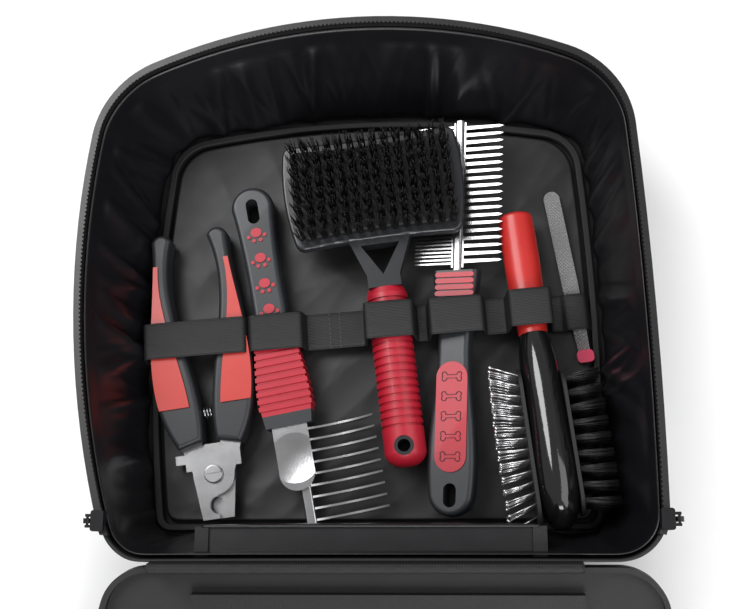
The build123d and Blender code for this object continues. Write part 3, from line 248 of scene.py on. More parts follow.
@dataclass
class MaterialShop:
    """Makes each finish once and hands out its material, with scales per metre and depths in millimetres."""

    finishes: dict[str, Finish]
    rib_heading: float
    cloud_scale: float = 90.0
    cloud_detail: float = 4.0
    gloss_swing: float = 0.12
    bump_depth: float = 0.4
    weave_slope: float = 0.7
    tape_slope: float = 1.6
    tape_fuzz: float = 0.6
    brushed_waves: tuple[float, float] = (9000.0, 1700.0)
    brushed_fuzz: float = 30.0
    made: dict[str, bpy.types.Material] = field(default_factory=dict)

    def get(self, name: str) -> bpy.types.Material:
        """Returns the material of a finish, made on first use."""
        if name not in self.made:
            self.made[name] = self._make(name, self.finishes[name])
        return self.made[name]

    def _make(self, name: str, finish: Finish) -> bpy.types.Material:
        """Builds the material of one finish.

        Args:
            name: The material's name.
            finish: How it looks.

        Returns:
            The material.
        """
        material = bpy.data.materials.new(name)
        material.use_nodes = True
        tree = Tree(material.node_tree)
        place = tree.add("ShaderNodeTexCoord").outputs["Object"]
        clouds = {"Vector": place, "Scale": self.cloud_scale, "Detail": self.cloud_detail}
        cloud = Value(tree, tree.add("ShaderNodeTexNoise", inputs=clouds).outputs["Fac"])
        shades = {"Factor": cloud, "A": finish.shade(-1), "B": finish.shade(1)}
        height = self._relief(tree, place, finish, cloud)
        relief = {"Strength": finish.relief, "Distance": self.bump_depth * MM, "Height": height}
        looks = {
            "Base Color": tree.add("ShaderNodeMix", {"data_type": "RGBA"}, shades).outputs["Result"],
            "Roughness": cloud * self.gloss_swing + (finish.roughness - self.gloss_swing / 2),
            "Metallic": finish.metallic,
            "Coat Weight": finish.coat,
            "Normal": tree.add("ShaderNodeBump", inputs=relief).outputs["Normal"],
        }
        shader = material.node_tree.nodes["Principled BSDF"]
        for socket, value in looks.items():
            tree.feed(shader.inputs[socket], value)
        return material

    def _relief(self, tree: Tree, place: bpy.types.NodeSocket, finish: Finish, cloud: Value) -> Value:
        """Works out the height of the fine pattern.

        Args:
            tree: The material's tree.
            place: The place on the object.
            finish: The finish, which names the pattern and its pitch.
            cloud: Slow noise over the surface.

        Returns:
            The height, for a Bump node.
        """
        split = tree.add("ShaderNodeSeparateXYZ", inputs={0: place})
        x, y, z = (Value(tree, output) for output in split.outputs)
        turns = 2 * math.pi / (finish.pitch * MM)
        if finish.grain is Grain.WEAVE:
            rise = z * self.weave_slope
            return ((x + rise) * turns).sine() * ((y + rise) * turns).sine() + cloud
        if finish.grain is Grain.RIB:
            return (y * turns + x * (-turns * math.tan(math.radians(self.rib_heading)))).sine().absolute()
        if finish.grain is Grain.TAPE:
            return ((x + y + z * self.tape_slope) * turns).sine() + cloud * self.tape_fuzz
        if finish.grain is Grain.BRUSHED:
            along, across = self.brushed_waves
            return (x * along + y * across + cloud * self.brushed_fuzz).sine()
        if finish.grain is Grain.CROSSCUT:
            return ((x + y) * turns).sine() + ((x * -1 + y) * turns).sine()
        return cloud


SHOP = MaterialShop(FINISHES, KIT.band_heading)


def new_object(name: str, data: bpy.types.ID) -> bpy.types.Object:
    """Makes an object.

    Args:
        name: The object's name.
        data: Its mesh, curve, camera or light.

    Returns:
        The object, linked to the scene.
    """
    obj = bpy.data.objects.new(name, data)
    bpy.context.scene.collection.objects.link(obj)
    return obj


def smooth(obj: bpy.types.Object) -> bpy.types.Object:
    """Shades a mesh smoothly and returns it."""
    obj.data.polygons.foreach_set("use_smooth", [True] * len(obj.data.polygons))
    return obj


def mesh_object(name: str, points: np.ndarray, faces: Sequence, finish: str) -> bpy.types.Object:
    """Makes a mesh object from points in millimetres.

    Args:
        name: The object's name.
        points: An array of n by 3.
        faces: Index tuples.
        finish: The finish's name.

    Returns:
        The linked object.
    """
    mesh = bpy.data.meshes.new(name)
    mesh.from_pydata((np.asarray(points) * MM).tolist(), [], [tuple(int(i) for i in f) for f in faces])
    mesh.update()
    mesh.materials.append(SHOP.get(finish))
    return new_object(name, mesh)


def grid_faces(rows: int, columns: int, around: bool) -> list[tuple[int, int, int, int]]:
    """Joins a grid of points with quads.

    Args:
        rows: The number of rows.
        columns: The number of points in a row.
        around: Whether the last column joins the first.

    Returns:
        The quads as index tuples.
    """
    last = columns if around else columns - 1
    quads = []
    for start in range(0, (rows - 1) * columns, columns):
        for column in range(last):
            here, right = start + column, start + (column + 1) % columns
            quads.append((here, right, right + columns, here + columns))
    return quads


def bake(obj: bpy.types.Object) -> bpy.types.Object:
    """Turns an object's modifiers into its mesh.

    Args:
        obj: The object.

    Returns:
        The same object, with no modifier left.
    """
    bpy.context.view_layer.update()
    depsgraph = bpy.context.evaluated_depsgraph_get()
    mesh = bpy.data.meshes.new_from_object(obj.evaluated_get(depsgraph))
    obj.modifiers.clear()
    obj.data = mesh
    return obj


def thicken(obj: bpy.types.Object, amount: float) -> bpy.types.Object:
    """Gives a sheet its thickness, half to each side, and closes its edges.

    Args:
        obj: The sheet.
        amount: The thickness, in millimetres.

    Returns:
        The same object.
    """
    solid = obj.modifiers.new("thickness", "SOLIDIFY")
    solid.thickness = amount * MM
    solid.offset = 0.0
    return bake(obj)


class WallSampler:
    """Reads the distance from a centre to one side of a ring-shaped solid, by rays in a plane."""

    smoothing = np.array([1, 2, 3, 2, 1]) / 9

    def __init__(self, node: str, origin: Vector = ORIGIN, basis: Matrix = UPRIGHT) -> None:
        """Prepares the solid for rays.

        Args:
            node: The solid's name.
            origin: The centre, in metres.
            basis: The axes of the plane that the rays run in.
        """
        mesh = frame["nodes"][node].data
        self.tree = BVHTree.FromPolygons([v.co for v in mesh.vertices], [p.vertices for p in mesh.polygons])
        self.origin = origin
        self.basis = basis

    def radii(self, angles: np.ndarray, height: float, side: Side) -> np.ndarray:
        """Reads the wall all round.

        Args:
            angles: The rays' angles, in radians.
            height: The height of the rays above the plane, in millimetres.
            side: The side of the wall that is read.

        Returns:
            The distance to the wall along each angle, in millimetres, with gaps filled and evened out.
        """
        start = self.origin + self.basis @ Vector((0, 0, height * MM))
        found = []
        for angle in angles:
            direction = self.basis @ Vector((math.cos(angle), math.sin(angle), 0))
            if side is Side.OUTSIDE:
                hit = self.tree.ray_cast(start + direction, -direction)
            else:
                hit = self.tree.ray_cast(start, direction)
            found.append(np.nan if hit[0] is None else (hit[0] - start).length / MM)
        values = np.array(found)
        holes = np.isnan(values)
        if holes.any():
            values[holes] = np.interp(angles[holes], angles[~holes], values[~holes], period=2 * math.pi)
        return np.convolve(np.concatenate([values[-2:], values, values[:2]]), self.smoothing, "valid")


class Pattern(Tree):
    """A Geometry Nodes tree that repeats a small shape and ends in one painted mesh."""

    def __init__(self, name: str, sizes: dict[str, float]) -> None:
        """Makes the tree with one named input for each size.

        Args:
            name: The tree's name.
            sizes: The sizes by their names, in metres, radians or shares.
        """
        super().__init__(bpy.data.node_groups.new(name, "GeometryNodeTree"))
        new_socket = self.tree.interface.new_socket
        new_socket("Geometry", in_out="INPUT", socket_type="NodeSocketGeometry")
        self.sizes = {
            new_socket(size, in_out="INPUT", socket_type="NodeSocketFloat").identifier: amount
            for size, amount in sizes.items()
        }
        new_socket("Geometry", in_out="OUTPUT", socket_type="NodeSocketGeometry")
        self.source = self.add("NodeGroupInput")
        self.guide = self.source.outputs["Geometry"]

    def size(self, name: str) -> Value:
        """Returns a size, by the name of its input."""
        return Value(self, self.source.outputs[name])

    def vector(self, *parts: Value | float) -> bpy.types.NodeSocket:
        """Returns a vector of up to three parts, with the rest at zero."""
        return self.add("ShaderNodeCombineXYZ", inputs=dict(enumerate(parts))).outputs[0]

    def repeat(self, points: object, turn: object, shape: object, finish: str) -> None:
        """Closes the tree with a copy of the shape on each point.

        Args:
            points: The output that gives the points.
            turn: The output that gives the turn at each point.
            shape: The output that gives the shape.
            finish: The finish's name.
        """
        copies = {"Points": points, "Rotation": turn, "Instance": shape}
        placed = self.add("GeometryNodeInstanceOnPoints", inputs=copies).outputs[0]
        real = self.add("GeometryNodeRealizeInstances", inputs={0: placed}).outputs[0]
        paint = self.add("GeometryNodeSetMaterial", inputs={0: real, "Material": SHOP.get(finish)}).outputs[0]
        self.add("NodeGroupOutput", inputs={0: paint})

    def grow(self, points: np.ndarray, edges: Sequence[tuple[int, int]] = ()) -> bpy.types.Object:
        """Runs the tree on points or lines.

        Args:
            points: An array of n by 3, in millimetres.
            edges: The pairs of points that are joined.

        Returns:
            The result as a plain mesh object.
        """
        mesh = bpy.data.meshes.new(self.tree.name)
        mesh.from_pydata((points * MM).tolist(), list(edges), [])
        obj = new_object(self.tree.name, mesh)
        modifier = obj.modifiers.new("pattern", "NODES")
        modifier.node_group = self.tree
        for identifier, amount in self.sizes.items():
            modifier[identifier] = amount
        return bake(obj)


@dataclass(frozen=True)
class Run:
    """A row of equal small blocks along a line, in millimetres."""

    name: str
    body: str
    finish: str
    spacing: float
    size: tuple[float, float, float]
    slot: str


def run_along(run: Run, lines: Sequence[np.ndarray], after: Matrix | None = None) -> bpy.types.Object:
    """Sets blocks along lines.

    Args:
        run: The blocks.
        lines: The points of each line, in millimetres.
        after: A move of the finished row, where it has one.

    Returns:
        One mesh that rides on the run's body.
    """
    length, width, height = (s * MM for s in run.size)
    sizes = {"Spacing": run.spacing * MM, "Length": length, "Width": width, "Height": height}
    pattern = Pattern(run.name, sizes)
    block = pattern.vector(*(pattern.size(name) for name in ("Length", "Width", "Height")))
    curve = pattern.add("GeometryNodeMeshToCurve", inputs={0: pattern.guide}).outputs[0]
    spots = {0: curve, "Length": pattern.size("Spacing")}
    scatter = pattern.add("GeometryNodeCurveToPoints", {"mode": "LENGTH"}, spots)
    cube = pattern.add("GeometryNodeMeshCube", inputs={"Size": block}).outputs[0]
    pattern.repeat(scatter.outputs["Points"], scatter.outputs["Rotation"], cube, run.finish)
    starts = np.cumsum([0] + [len(line) for line in lines])
    edges = [(int(i), int(i) + 1) for a, b in zip(starts, starts[1:]) for i in range(a, b - 1)]
    obj = pattern.grow(np.concatenate(lines), edges)
    if after is not None:
        obj.data.transform(after)
    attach(obj, run.body)
    return obj


@dataclass(frozen=True)
class Strands:
    """A field of bristles or pins standing on a plane, in millimetres."""

    name: str
    body: str
    finish: str
    columns: int
    rows: int
    pitch: tuple[float, float]
    per_tuft: int
    spread: float
    radius: float
    length: float
    lean: float
    ball: float = 0.0
    fan: float = 0.0
    pin_sides: int = 8
    pin_taper: float = 0.9
    bristle_sides: int = 5
    bristle_taper: float = 0.55
    ball_segments: int = 10
    ball_rings: int = 6

    def feet(self, inside: Callable[[float, float], bool]) -> list[tuple[float, float, float]]:
        """Lists where the strands stand.

        Args:
            inside: Tells whether a tuft at x and y belongs to the field.

        Returns:
            The foot of each strand.
        """
        reach = self.spread if self.per_tuft > 1 else 0.0
        spots = []
        for i in range(self.columns):
            for j in range(self.rows):
                x = (i - (self.columns - 1) / 2) * self.pitch[0]
                y = (j - (self.rows - 1) / 2) * self.pitch[1]
                if inside(x, y):
                    turns = [2 * math.pi * k / self.per_tuft + i + j for k in range(self.per_tuft)]
                    spots += [(x + reach * math.cos(a), y + reach * math.sin(a), 0.0) for a in turns]
        return spots


def strand_shape(pattern: Pattern, strands: Strands) -> bpy.types.NodeSocket:
    """Adds one strand to a pattern: a thin bristle, or a thick pin with a ball on its tip.

    Args:
        pattern: The pattern, with inputs for the strand's sizes.
        strands: The strands, which are pins where they have a ball.

    Returns:
        The output that gives the strand.
    """
    length, radius = pattern.size("Length"), pattern.size("Radius")
    stem_sizes = {
        "Vertices": strands.pin_sides if strands.ball else strands.bristle_sides,
        "Radius Top": radius * (strands.pin_taper if strands.ball else strands.bristle_taper),
        "Radius Bottom": radius,
        "Depth": length,
    }
    stem = pattern.add("GeometryNodeMeshCone", inputs=stem_sizes).outputs[0]
    if not strands.ball:
        return stem
    ball_sizes = {"Segments": strands.ball_segments, "Rings": strands.ball_rings, "Radius": pattern.size("Ball")}
    ball = pattern.add("GeometryNodeMeshUVSphere", inputs=ball_sizes).outputs[0]
    up = pattern.vector(0.0, 0.0, length)
    tip = pattern.add("GeometryNodeTransform", inputs={0: ball, "Translation": up})
    join = pattern.add("GeometryNodeJoinGeometry", inputs={0: stem})
    pattern.feed(join.inputs[0], tip.outputs[0])
    return join.outputs[0]


def strand_field(strands: Strands, base: Matrix, inside: Callable[[float, float], bool]) -> bpy.types.Object:
    """Grows strands on the plane z = 0 of base.

    Args:
        strands: The strands.
        base: The plane's place, in metres.
        inside: Tells whether a tuft at x and y belongs to the field.

    Returns:
        One mesh that rides on the strands' body.
    """
    sizes = {
        "Length": strands.length * MM,
        "Radius": strands.radius * MM,
        "Ball": strands.ball * MM,
        "Lean": strands.lean,
        "Fan": strands.fan / MM,
    }
    pattern = Pattern(strands.name, sizes)
    lean = pattern.size("Lean")
    limits = {0: pattern.vector(lean * -1, lean * -1), 1: pattern.vector(lean, lean), "Seed": 0}
    sway = pattern.add("FunctionNodeRandomValue", {"data_type": "FLOAT_VECTOR"}, limits).outputs[0]
    foot = pattern.add("GeometryNodeInputPosition").outputs[0]
    along = Value(pattern, pattern.add("ShaderNodeSeparateXYZ", inputs={0: foot}).outputs[0])
    fan = pattern.vector(0.0, along * pattern.size("Fan"))
    turn = pattern.add("ShaderNodeVectorMath", {"operation": "ADD"}, {0: sway, 1: fan}).outputs[0]
    pattern.repeat(pattern.guide, turn, strand_shape(pattern, strands), strands.finish)
    points = strands.feet(inside)
    np.random.default_rng(SEED + len(strands.name)).shuffle(points)
    obj = pattern.grow(np.array(points))
    obj.data.transform(base)
    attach(smooth(obj), strands.body)
    return obj


@dataclass(frozen=True)
class Fold:
    """One soft fold of a gathered cloth, in millimetres."""

    at: float
    width: float
    depth: float
    lean: float


@dataclass(frozen=True)
class Gather:
    """How a cloth is gathered: how many folds it has, and how deep, wide, uneven and slanted they are."""

    count: int
    depth: tuple[float, float]
    width: tuple[float, float]
    seed: int
    shift: float = 0.4
    slant: float = 0.35

    def folds(self, length: float) -> list[Fold]:
        """Spreads the folds.

        Args:
            length: The length of the cloth's edge, in millimetres.

        Returns:
            The folds, in their order along the edge.
        """
        rng = np.random.default_rng(self.seed)
        return [
            Fold(
                (i + rng.uniform(-self.shift, self.shift)) * length / self.count,
                rng.uniform(*self.width),
                rng.uniform(*self.depth),
                rng.uniform(-self.slant, self.slant),
            )
            for i in range(self.count)
        ]


def fold_field(places: np.ndarray, heights: np.ndarray, made: Sequence[Fold], length: float) -> np.ndarray:
    """Works out how far the folds stand out.

    Args:
        places: Places along the cloth, in millimetres.
        heights: The height at each place.
        made: The folds.
        length: The length of the cloth's closed edge.

    Returns:
        The depth at each place, in millimetres.
    """
    total = np.zeros(np.broadcast(places, heights).shape)
    for fold in made:
        away = (places - fold.at - fold.lean * heights + length / 2) % length - length / 2
        total += fold.depth * np.exp(-((away / fold.width) ** 2))
    return total


@dataclass(frozen=True)
class Wrinkle:
    """One run of long, low creases across a flat cloth, in millimetres and radians."""

    heading: float
    width: float
    phase: float
    height: float
    bend: float = 6.0
    bend_length: float = 40.0

    def rise(self, x: np.ndarray, y: np.ndarray) -> np.ndarray:
        """Works out how far the cloth stands up.

        Args:
            x: The places across the cloth.
            y: The places up the cloth.

        Returns:
            The height at each place.
        """
        bent = self.bend * np.sin((x - y) / self.bend_length + self.phase)
        across = x * math.cos(self.heading) + y * math.sin(self.heading) + bent
        return self.height * (1 - 2 * np.abs(np.sin(across / self.width * math.pi + self.phase)))


@dataclass(frozen=True)
class Ripple:
    """One wave round the padded shell: its number of crests, its phase, height and twist per millimetre."""

    crests: int
    phase: float
    height: float
    twist: float

    def swell(self, angles: np.ndarray, z: float) -> np.ndarray:
        """Returns the wave at each angle and at height z."""
        return self.height * np.sin(self.crests * angles + self.phase + z * self.twist)


@dataclass
class Case:
    """The soft case in millimetres: lining, tool panel, shell, spine, pocket, hinge cloth and zip teeth."""

    kit: Kit
    columns: int = 720
    wall_reading: float = 1.0
    deep_folds: Gather = Gather(62, (0.9, 3.9), (2.4, 6.0), SEED)
    fine_folds: Gather = Gather(130, (0.2, 0.9), (1.2, 2.4), SEED + 1)
    lining_rows: int = 34
    lining_foot: float = 0.6
    lining_top: float = 2.8
    lining_middle: float = 30.0
    lining_cloth: float = 0.5
    lining_width: float = 62.5
    lining_sewn: float = 0.83
    lining_foot_swell: float = 0.12
    lining_swell_rate: float = 1.05
    softness: float = 0.6
    panel_rows: int = 90
    panel_reading: float = 5.0
    panel_edge: float = 0.985
    panel_sink: float = 0.1
    panel_depth: float = 3.8
    panel_wrinkles: int = 9
    wrinkle_width: tuple[float, float] = (18.0, 46.0)
    wrinkle_height: tuple[float, float] = (0.05, 0.15)
    panel_limit: float = 0.8
    panel_fade: float = 0.05
    shell_rows: int = 22
    shell_foot: float = 0.2
    shell_top: float = 2.6
    shell_ripples: int = 18
    ripple_crests: tuple[int, int] = (5, 34)
    ripple_height: tuple[float, float] = (0.05, 0.22)
    ripple_twist: tuple[float, float] = (0.02, 0.12)
    ripple_share: float = 0.5
    shell_puff: float = 0.9
    shell_sink: float = 0.3
    shell_depth: float = 1.6
    spine_sides: tuple[float, float] = (-71.0, 75.0)
    spine_foot: tuple[float, float] = (-111.3, 8.4)
    spine_top: tuple[float, float] = (-109.3, 56.5)
    spine_grid: tuple[int, int] = (110, 26)
    spine_front: float = 0.6
    spine_crown: float = 1.6
    spine_back: float = 0.4
    spine_dents: int = 14
    dent_depth: tuple[float, float] = (-0.35, 0.25)
    dent_size: tuple[float, float] = (0.06, 0.4)
    crown_softness: float = 0.35
    pocket_folds: Gather = Gather(90, (0.2, 1.3), (1.6, 4.5), SEED + 4)
    pocket_rows: int = 40
    pocket_width: float = 240.0
    pocket_cloth: float = 0.4
    pocket_gap: float = 0.3
    pocket_slack: float = 0.9
    pocket_sag: float = 0.6
    pocket_gather: float = 0.7
    pocket_gather_reach: float = 0.16
    pocket_hem: float = 0.03
    pocket_inset: float = 0.999
    hinge_half: float = 92.0
    hinge_columns: int = 130
    hinge_cloth_thickness: float = 0.5
    hinge_wave_y: tuple[float, float] = (0.12, 0.9)
    hinge_wave_z: tuple[float, float] = (0.15, 0.55)
    hinge_reach: tuple[float, float] = (-124.9, -128.8)
    hinge_path: tuple[tuple[float, float], ...] = (
        (-124.9, 61.5),
        (-125.6, 64.6),
        (-126.3, 66.9),
        (-127.6, 67.2),
        (-128.8, 65.9),
        (-128.9, 63.4),
        (-128.4, 61.8),
    )
    teeth_reading: float = 1.2
    tooth: tuple[float, float, float] = (3.0, 0.9, 1.1)
    tooth_spacing: float = 2.0
    tray_teeth_z: float = -0.4
    tray_teeth_room: float = 14.0
    lid_teeth_z: float = 1.0
    lid_teeth_room: float = 36.0

    def __post_init__(self) -> None:
        """Reads the wall's two sides from its solid and works out the lid's turn."""
        kit = self.kit
        self.angles = np.linspace(0, 2 * math.pi, self.columns, endpoint=False)
        self.reading_top = kit.wall_top - self.wall_reading
        wall = WallSampler("tray_wall")
        self.low = {side: wall.radii(self.angles, kit.bed_z, side) for side in Side}
        self.high = {side: wall.radii(self.angles, self.reading_top, side) for side in Side}
        hinge = Vector((0, kit.hinge_y, kit.rim_z)) * MM
        turn = Matrix.Rotation(math.radians(kit.lid_open), 4, "X")
        self.lid_matrix = Matrix.Translation(hinge) @ turn @ Matrix.Translation(-hinge)

    def _radius(self, z: float, side: Side) -> np.ndarray:
        """Returns the distance to one side of the sloping wall at height z, at each angle."""
        share = (z - self.kit.bed_z) / (self.reading_top - self.kit.bed_z)
        return self.low[side] + (self.high[side] - self.low[side]) * share

    def _ring(self, radius: np.ndarray, z: np.ndarray | float) -> np.ndarray:
        """Returns the points of one closed row, from the distance and height at each angle."""
        x, y = radius * np.cos(self.angles), radius * np.sin(self.angles)
        return np.stack([x, y, np.broadcast_to(z, radius.shape)], 1)

    def _lap(self, radius: np.ndarray) -> tuple[float, np.ndarray]:
        """Returns the length of a closed edge and the place of each of its points along it."""
        along = np.cumsum(radius) * 2 * math.pi / self.columns
        return float(np.sum(radius) * 2 * math.pi / self.columns), along

    def _cloth(self, name: str, rows: list[np.ndarray], finish: str) -> bpy.types.Object:
        """Makes a cloth from closed rows of points.

        Args:
            name: The piece's name.
            rows: The rows, in order.
            finish: The finish's name.

        Returns:
            The piece.
        """
        return mesh_object(name, np.concatenate(rows), grid_faces(len(rows), self.columns, True), finish)

    def _lining_swell(self, share: float) -> float:
        """Works out how strongly the lining's folds stand out at one height.

        Args:
            share: The height as a share of the lining's own.

        Returns:
            A factor up to 1, and 0 where the lining is sewn down.
        """
        if share >= self.lining_sewn:
            return 0.0
        turn = min(1.0, share * self.lining_swell_rate + self.lining_foot_swell)
        return math.sin(math.pi * turn) ** self.softness

    def lining(self) -> bpy.types.Object:
        """Builds the gathered lining of the tray's wall.

        Returns:
            The lining.
        """
        length, along = self._lap(self._radius(self.lining_middle, Side.INSIDE))
        made = self.deep_folds.folds(length) + self.fine_folds.folds(length)
        foot, top = self.kit.bed_z + self.lining_foot, self.kit.rim_z - self.lining_top
        rows = []
        for z in np.linspace(foot, top, self.lining_rows):
            level = np.full(self.columns, z - self.lining_middle)
            out = fold_field(along, level, made, length) * self._lining_swell((z - foot) / (top - foot))
            rows.append(self._ring(self._radius(z, Side.INSIDE) - self.lining_cloth - out, z))
        obj = self._cloth("tray_lining", rows, "lining")
        smooth(thicken(obj, self.lining_cloth))
        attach(obj, "tray")
        return obj

    def panel(self) -> bpy.types.Object:
        """Builds the padded tool panel with the slight wrinkles of its cloth.

        Returns:
            The panel's cloth.
        """
        rng = np.random.default_rng(SEED + 6)
        edge = WallSampler("tool_panel").radii(self.angles, self.panel_reading, Side.OUTSIDE)
        wrinkles = [
            Wrinkle(
                rng.uniform(0, math.pi),
                rng.uniform(*self.wrinkle_width),
                rng.uniform(0, PHASES),
                rng.uniform(*self.wrinkle_height),
            )
            for _ in range(self.panel_wrinkles)
        ]
        rows = []
        for share in (CENTRE_SHARE, *np.linspace(FIRST_RING, self.panel_edge, self.panel_rows)):
            x, y = edge * share * np.cos(self.angles), edge * share * np.sin(self.angles)
            rise = sum(wrinkle.rise(x, y) for wrinkle in wrinkles)
            fade = min(1.0, (1 - share) / self.panel_fade)
            z = self.kit.bed_z - self.panel_sink + np.clip(rise, -self.panel_limit, self.panel_limit) * fade
            rows.append(self._ring(edge * share, z))
        under = self.kit.bed_z - self.panel_depth
        rows += [self._ring(edge * share, under) for share in (self.panel_edge, CENTRE_SHARE)]
        rows.append(rows[0])
        obj = smooth(self._cloth("panel_cloth", rows, "panel_cloth"))
        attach(obj, "tray")
        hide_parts("tool_panel")
        return obj

    def shell(self) -> bpy.types.Object:
        """Builds the padded outside of the tray's wall.

        Returns:
            The shell.
        """
        rng = np.random.default_rng(SEED + 2)
        heights = np.linspace(self.shell_foot, self.kit.rim_z - self.shell_top, self.shell_rows)
        ripples = [
            Ripple(
                rng.integers(*self.ripple_crests),
                rng.uniform(0, PHASES),
                rng.uniform(*self.ripple_height),
                rng.uniform(*self.ripple_twist),
            )
            for _ in range(self.shell_ripples)
        ]
        rows = []
        for z in heights:
            share = (z - heights[0]) / (heights[-1] - heights[0])
            puff = self.shell_puff * math.sin(math.pi * share) ** self.softness
            swell = sum(ripple.swell(self.angles, z) for ripple in ripples)
            out = self._radius(z, Side.OUTSIDE) + puff * (1 + self.ripple_share * swell) - self.shell_sink
            rows.append(self._ring(out, z))
        rows += [self._ring(self._radius(z, Side.OUTSIDE) - self.shell_depth, z) for z in reversed(heights)]
        rows.append(rows[0])
        obj = smooth(self._cloth("tray_shell", rows, "case_cloth"))
        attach(obj, "tray")
        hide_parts("tray_wall")
        return obj

    def _dent(self, rng: np.random.Generator, u: np.ndarray, v: np.ndarray) -> np.ndarray:
        """Makes one shallow dent or swelling at a random place of the spine.

        Args:
            rng: The source of its depth and place, drawn in that order.
            u: The shares along the spine.
            v: The shares up the spine.

        Returns:
            The dent's height at each share.
        """
        depth = rng.uniform(*self.dent_depth)
        along = ((u - rng.uniform()) / self.dent_size[0]) ** 2
        up = ((v - rng.uniform()) / self.dent_size[1]) ** 2
        return depth * np.exp(-along - up)

    def spine(self) -> bpy.types.Object:
        """Builds the padded strip on the hinge side, with a soft crown and slight dents.

        Returns:
            The strip.
        """
        rng = np.random.default_rng(SEED + 3)
        wide, tall = self.spine_grid
        u, v = np.meshgrid(np.linspace(0, 1, wide), np.linspace(0, 1, tall))
        (left, right), (foot_y, foot_z), (top_y, top_z) = self.spine_sides, self.spine_foot, self.spine_top
        x = left + (right - left) * u
        y = foot_y + (top_y - foot_y) * v
        z = foot_z + (top_z - foot_z) * v
        crown = (np.sin(math.pi * u) * np.sin(math.pi * v)).clip(0) ** self.crown_softness
        dents = sum(self._dent(rng, u, v) for _ in range(self.spine_dents))
        front_y = y + self.spine_front + self.spine_crown * crown + dents * crown
        front = np.stack([x, front_y, z], -1).reshape(-1, 3)
        back = np.stack([x, y - self.spine_back, z], -1).reshape(-1, 3)
        count = wide * tall
        quads = grid_faces(tall, wide, False)
        faces = [tuple(reversed(f)) for f in quads] + [tuple(i + count for i in f) for f in quads]
        edge = [*range(wide), *range(2 * wide - 1, count, wide)]
        edge += [*range(count - 2, count - wide - 1, -1), *range(count - 2 * wide, 0, -wide)]
        faces += [(a, b, b + count, a + count) for a, b in zip(edge, edge[1:] + edge[:1])]
        obj = smooth(mesh_object("spine_pad", np.concatenate([front, back]), faces, "lining"))
        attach(obj, "tray")
        return obj

    def pocket(self) -> bpy.types.Object:
        """Builds the gathered cloth pocket inside the lid.

        Returns:
            The pocket's cloth.
        """
        kit = self.kit
        centre = self.lid_matrix @ (Vector((0, 0, kit.lid_board_z - kit.pocket_depth / 2)) * MM)
        sampler = WallSampler("lid_pocket", centre, self.lid_matrix.to_3x3())
        edge = sampler.radii(self.angles, 0.0, Side.OUTSIDE)
        length, along = self._lap(edge)
        made = self.pocket_folds.folds(length)
        creases = fold_field(along, np.zeros(self.columns), made, length)
        rows = []
        for share in (*np.linspace(1.0, FIRST_RING, self.pocket_rows), CENTRE_SHARE):
            gather = self.pocket_gather * creases * math.exp(-(1 - share) / self.pocket_gather_reach)
            sag = self.pocket_sag * math.cos(share * math.pi / 2) ** self.softness
            lift = math.sqrt(min(1.0, (1 - share) / self.pocket_hem))
            puff = (kit.pocket_depth - self.pocket_slack + sag + gather) * lift
            z = kit.lid_board_z - self.pocket_gap - puff
            rows.append(self._ring(edge * share * self.pocket_inset, z))
        obj = self._cloth("pocket_cloth", rows, "lining")
        obj.data.transform(self.lid_matrix)
        smooth(thicken(obj, self.pocket_cloth))
        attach(obj, "lid")
        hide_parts("lid_pocket")
        return obj

    def hinge_cloth(self) -> bpy.types.Object:
        """Builds the cloth that folds over the cord between tray and lid.

        Returns:
            The cloth, blended from tray to lid.
        """
        x = np.linspace(-self.hinge_half, self.hinge_half, self.hinge_columns)
        wave_y, wave_z = (height * np.sin(x * turns) for height, turns in (self.hinge_wave_y, self.hinge_wave_z))
        rows = [np.stack([x, y + wave_y, z + wave_z], 1) for y, z in self.hinge_path]
        faces = grid_faces(len(rows), self.hinge_columns, False)
        obj = mesh_object("hinge_cloth", np.concatenate(rows), faces, "binding")
        smooth(thicken(obj, self.hinge_cloth_thickness))
        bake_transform(obj)
        return obj

    def zip_path(self, z: float, room: float) -> np.ndarray:
        """Draws the line along the middle of the tray's rim, from one hinge corner round to the other.

        Args:
            z: The line's height.
            room: The room that is left before the hinge line at both ends.

        Returns:
            The line's points.
        """
        rim = self.kit.rim_z - self.teeth_reading
        middle = (self._radius(rim, Side.INSIDE) + self._radius(rim, Side.OUTSIDE)) / 2
        ring = np.roll(self._ring(middle, z), -int(self.columns * 0.75), axis=0)
        return ring[ring[:, 1] > self.kit.hinge_y + room]

    def zip_teeth(self) -> list[bpy.types.Object]:
        """Sets the zip's teeth on both rims, at heights that pass each other when the lid closes.

        Returns:
            The teeth of the tray and of the lid.
        """
        rim = self.kit.rim_z
        tray_run = Run("tray_teeth", "tray", "zip_teeth", self.tooth_spacing, self.tooth, "zip_teeth")
        tray_line = self.zip_path(rim + self.tray_teeth_z, self.tray_teeth_room)
        lid_run = Run("lid_teeth", "lid", "zip_teeth", self.tooth_spacing, self.tooth, "zip_teeth")
        lid_line = self.zip_path(rim + self.lid_teeth_z, self.lid_teeth_room)
        return [run_along(tray_run, [tray_line]), run_along(lid_run, [lid_line], after=self.lid_matrix)]


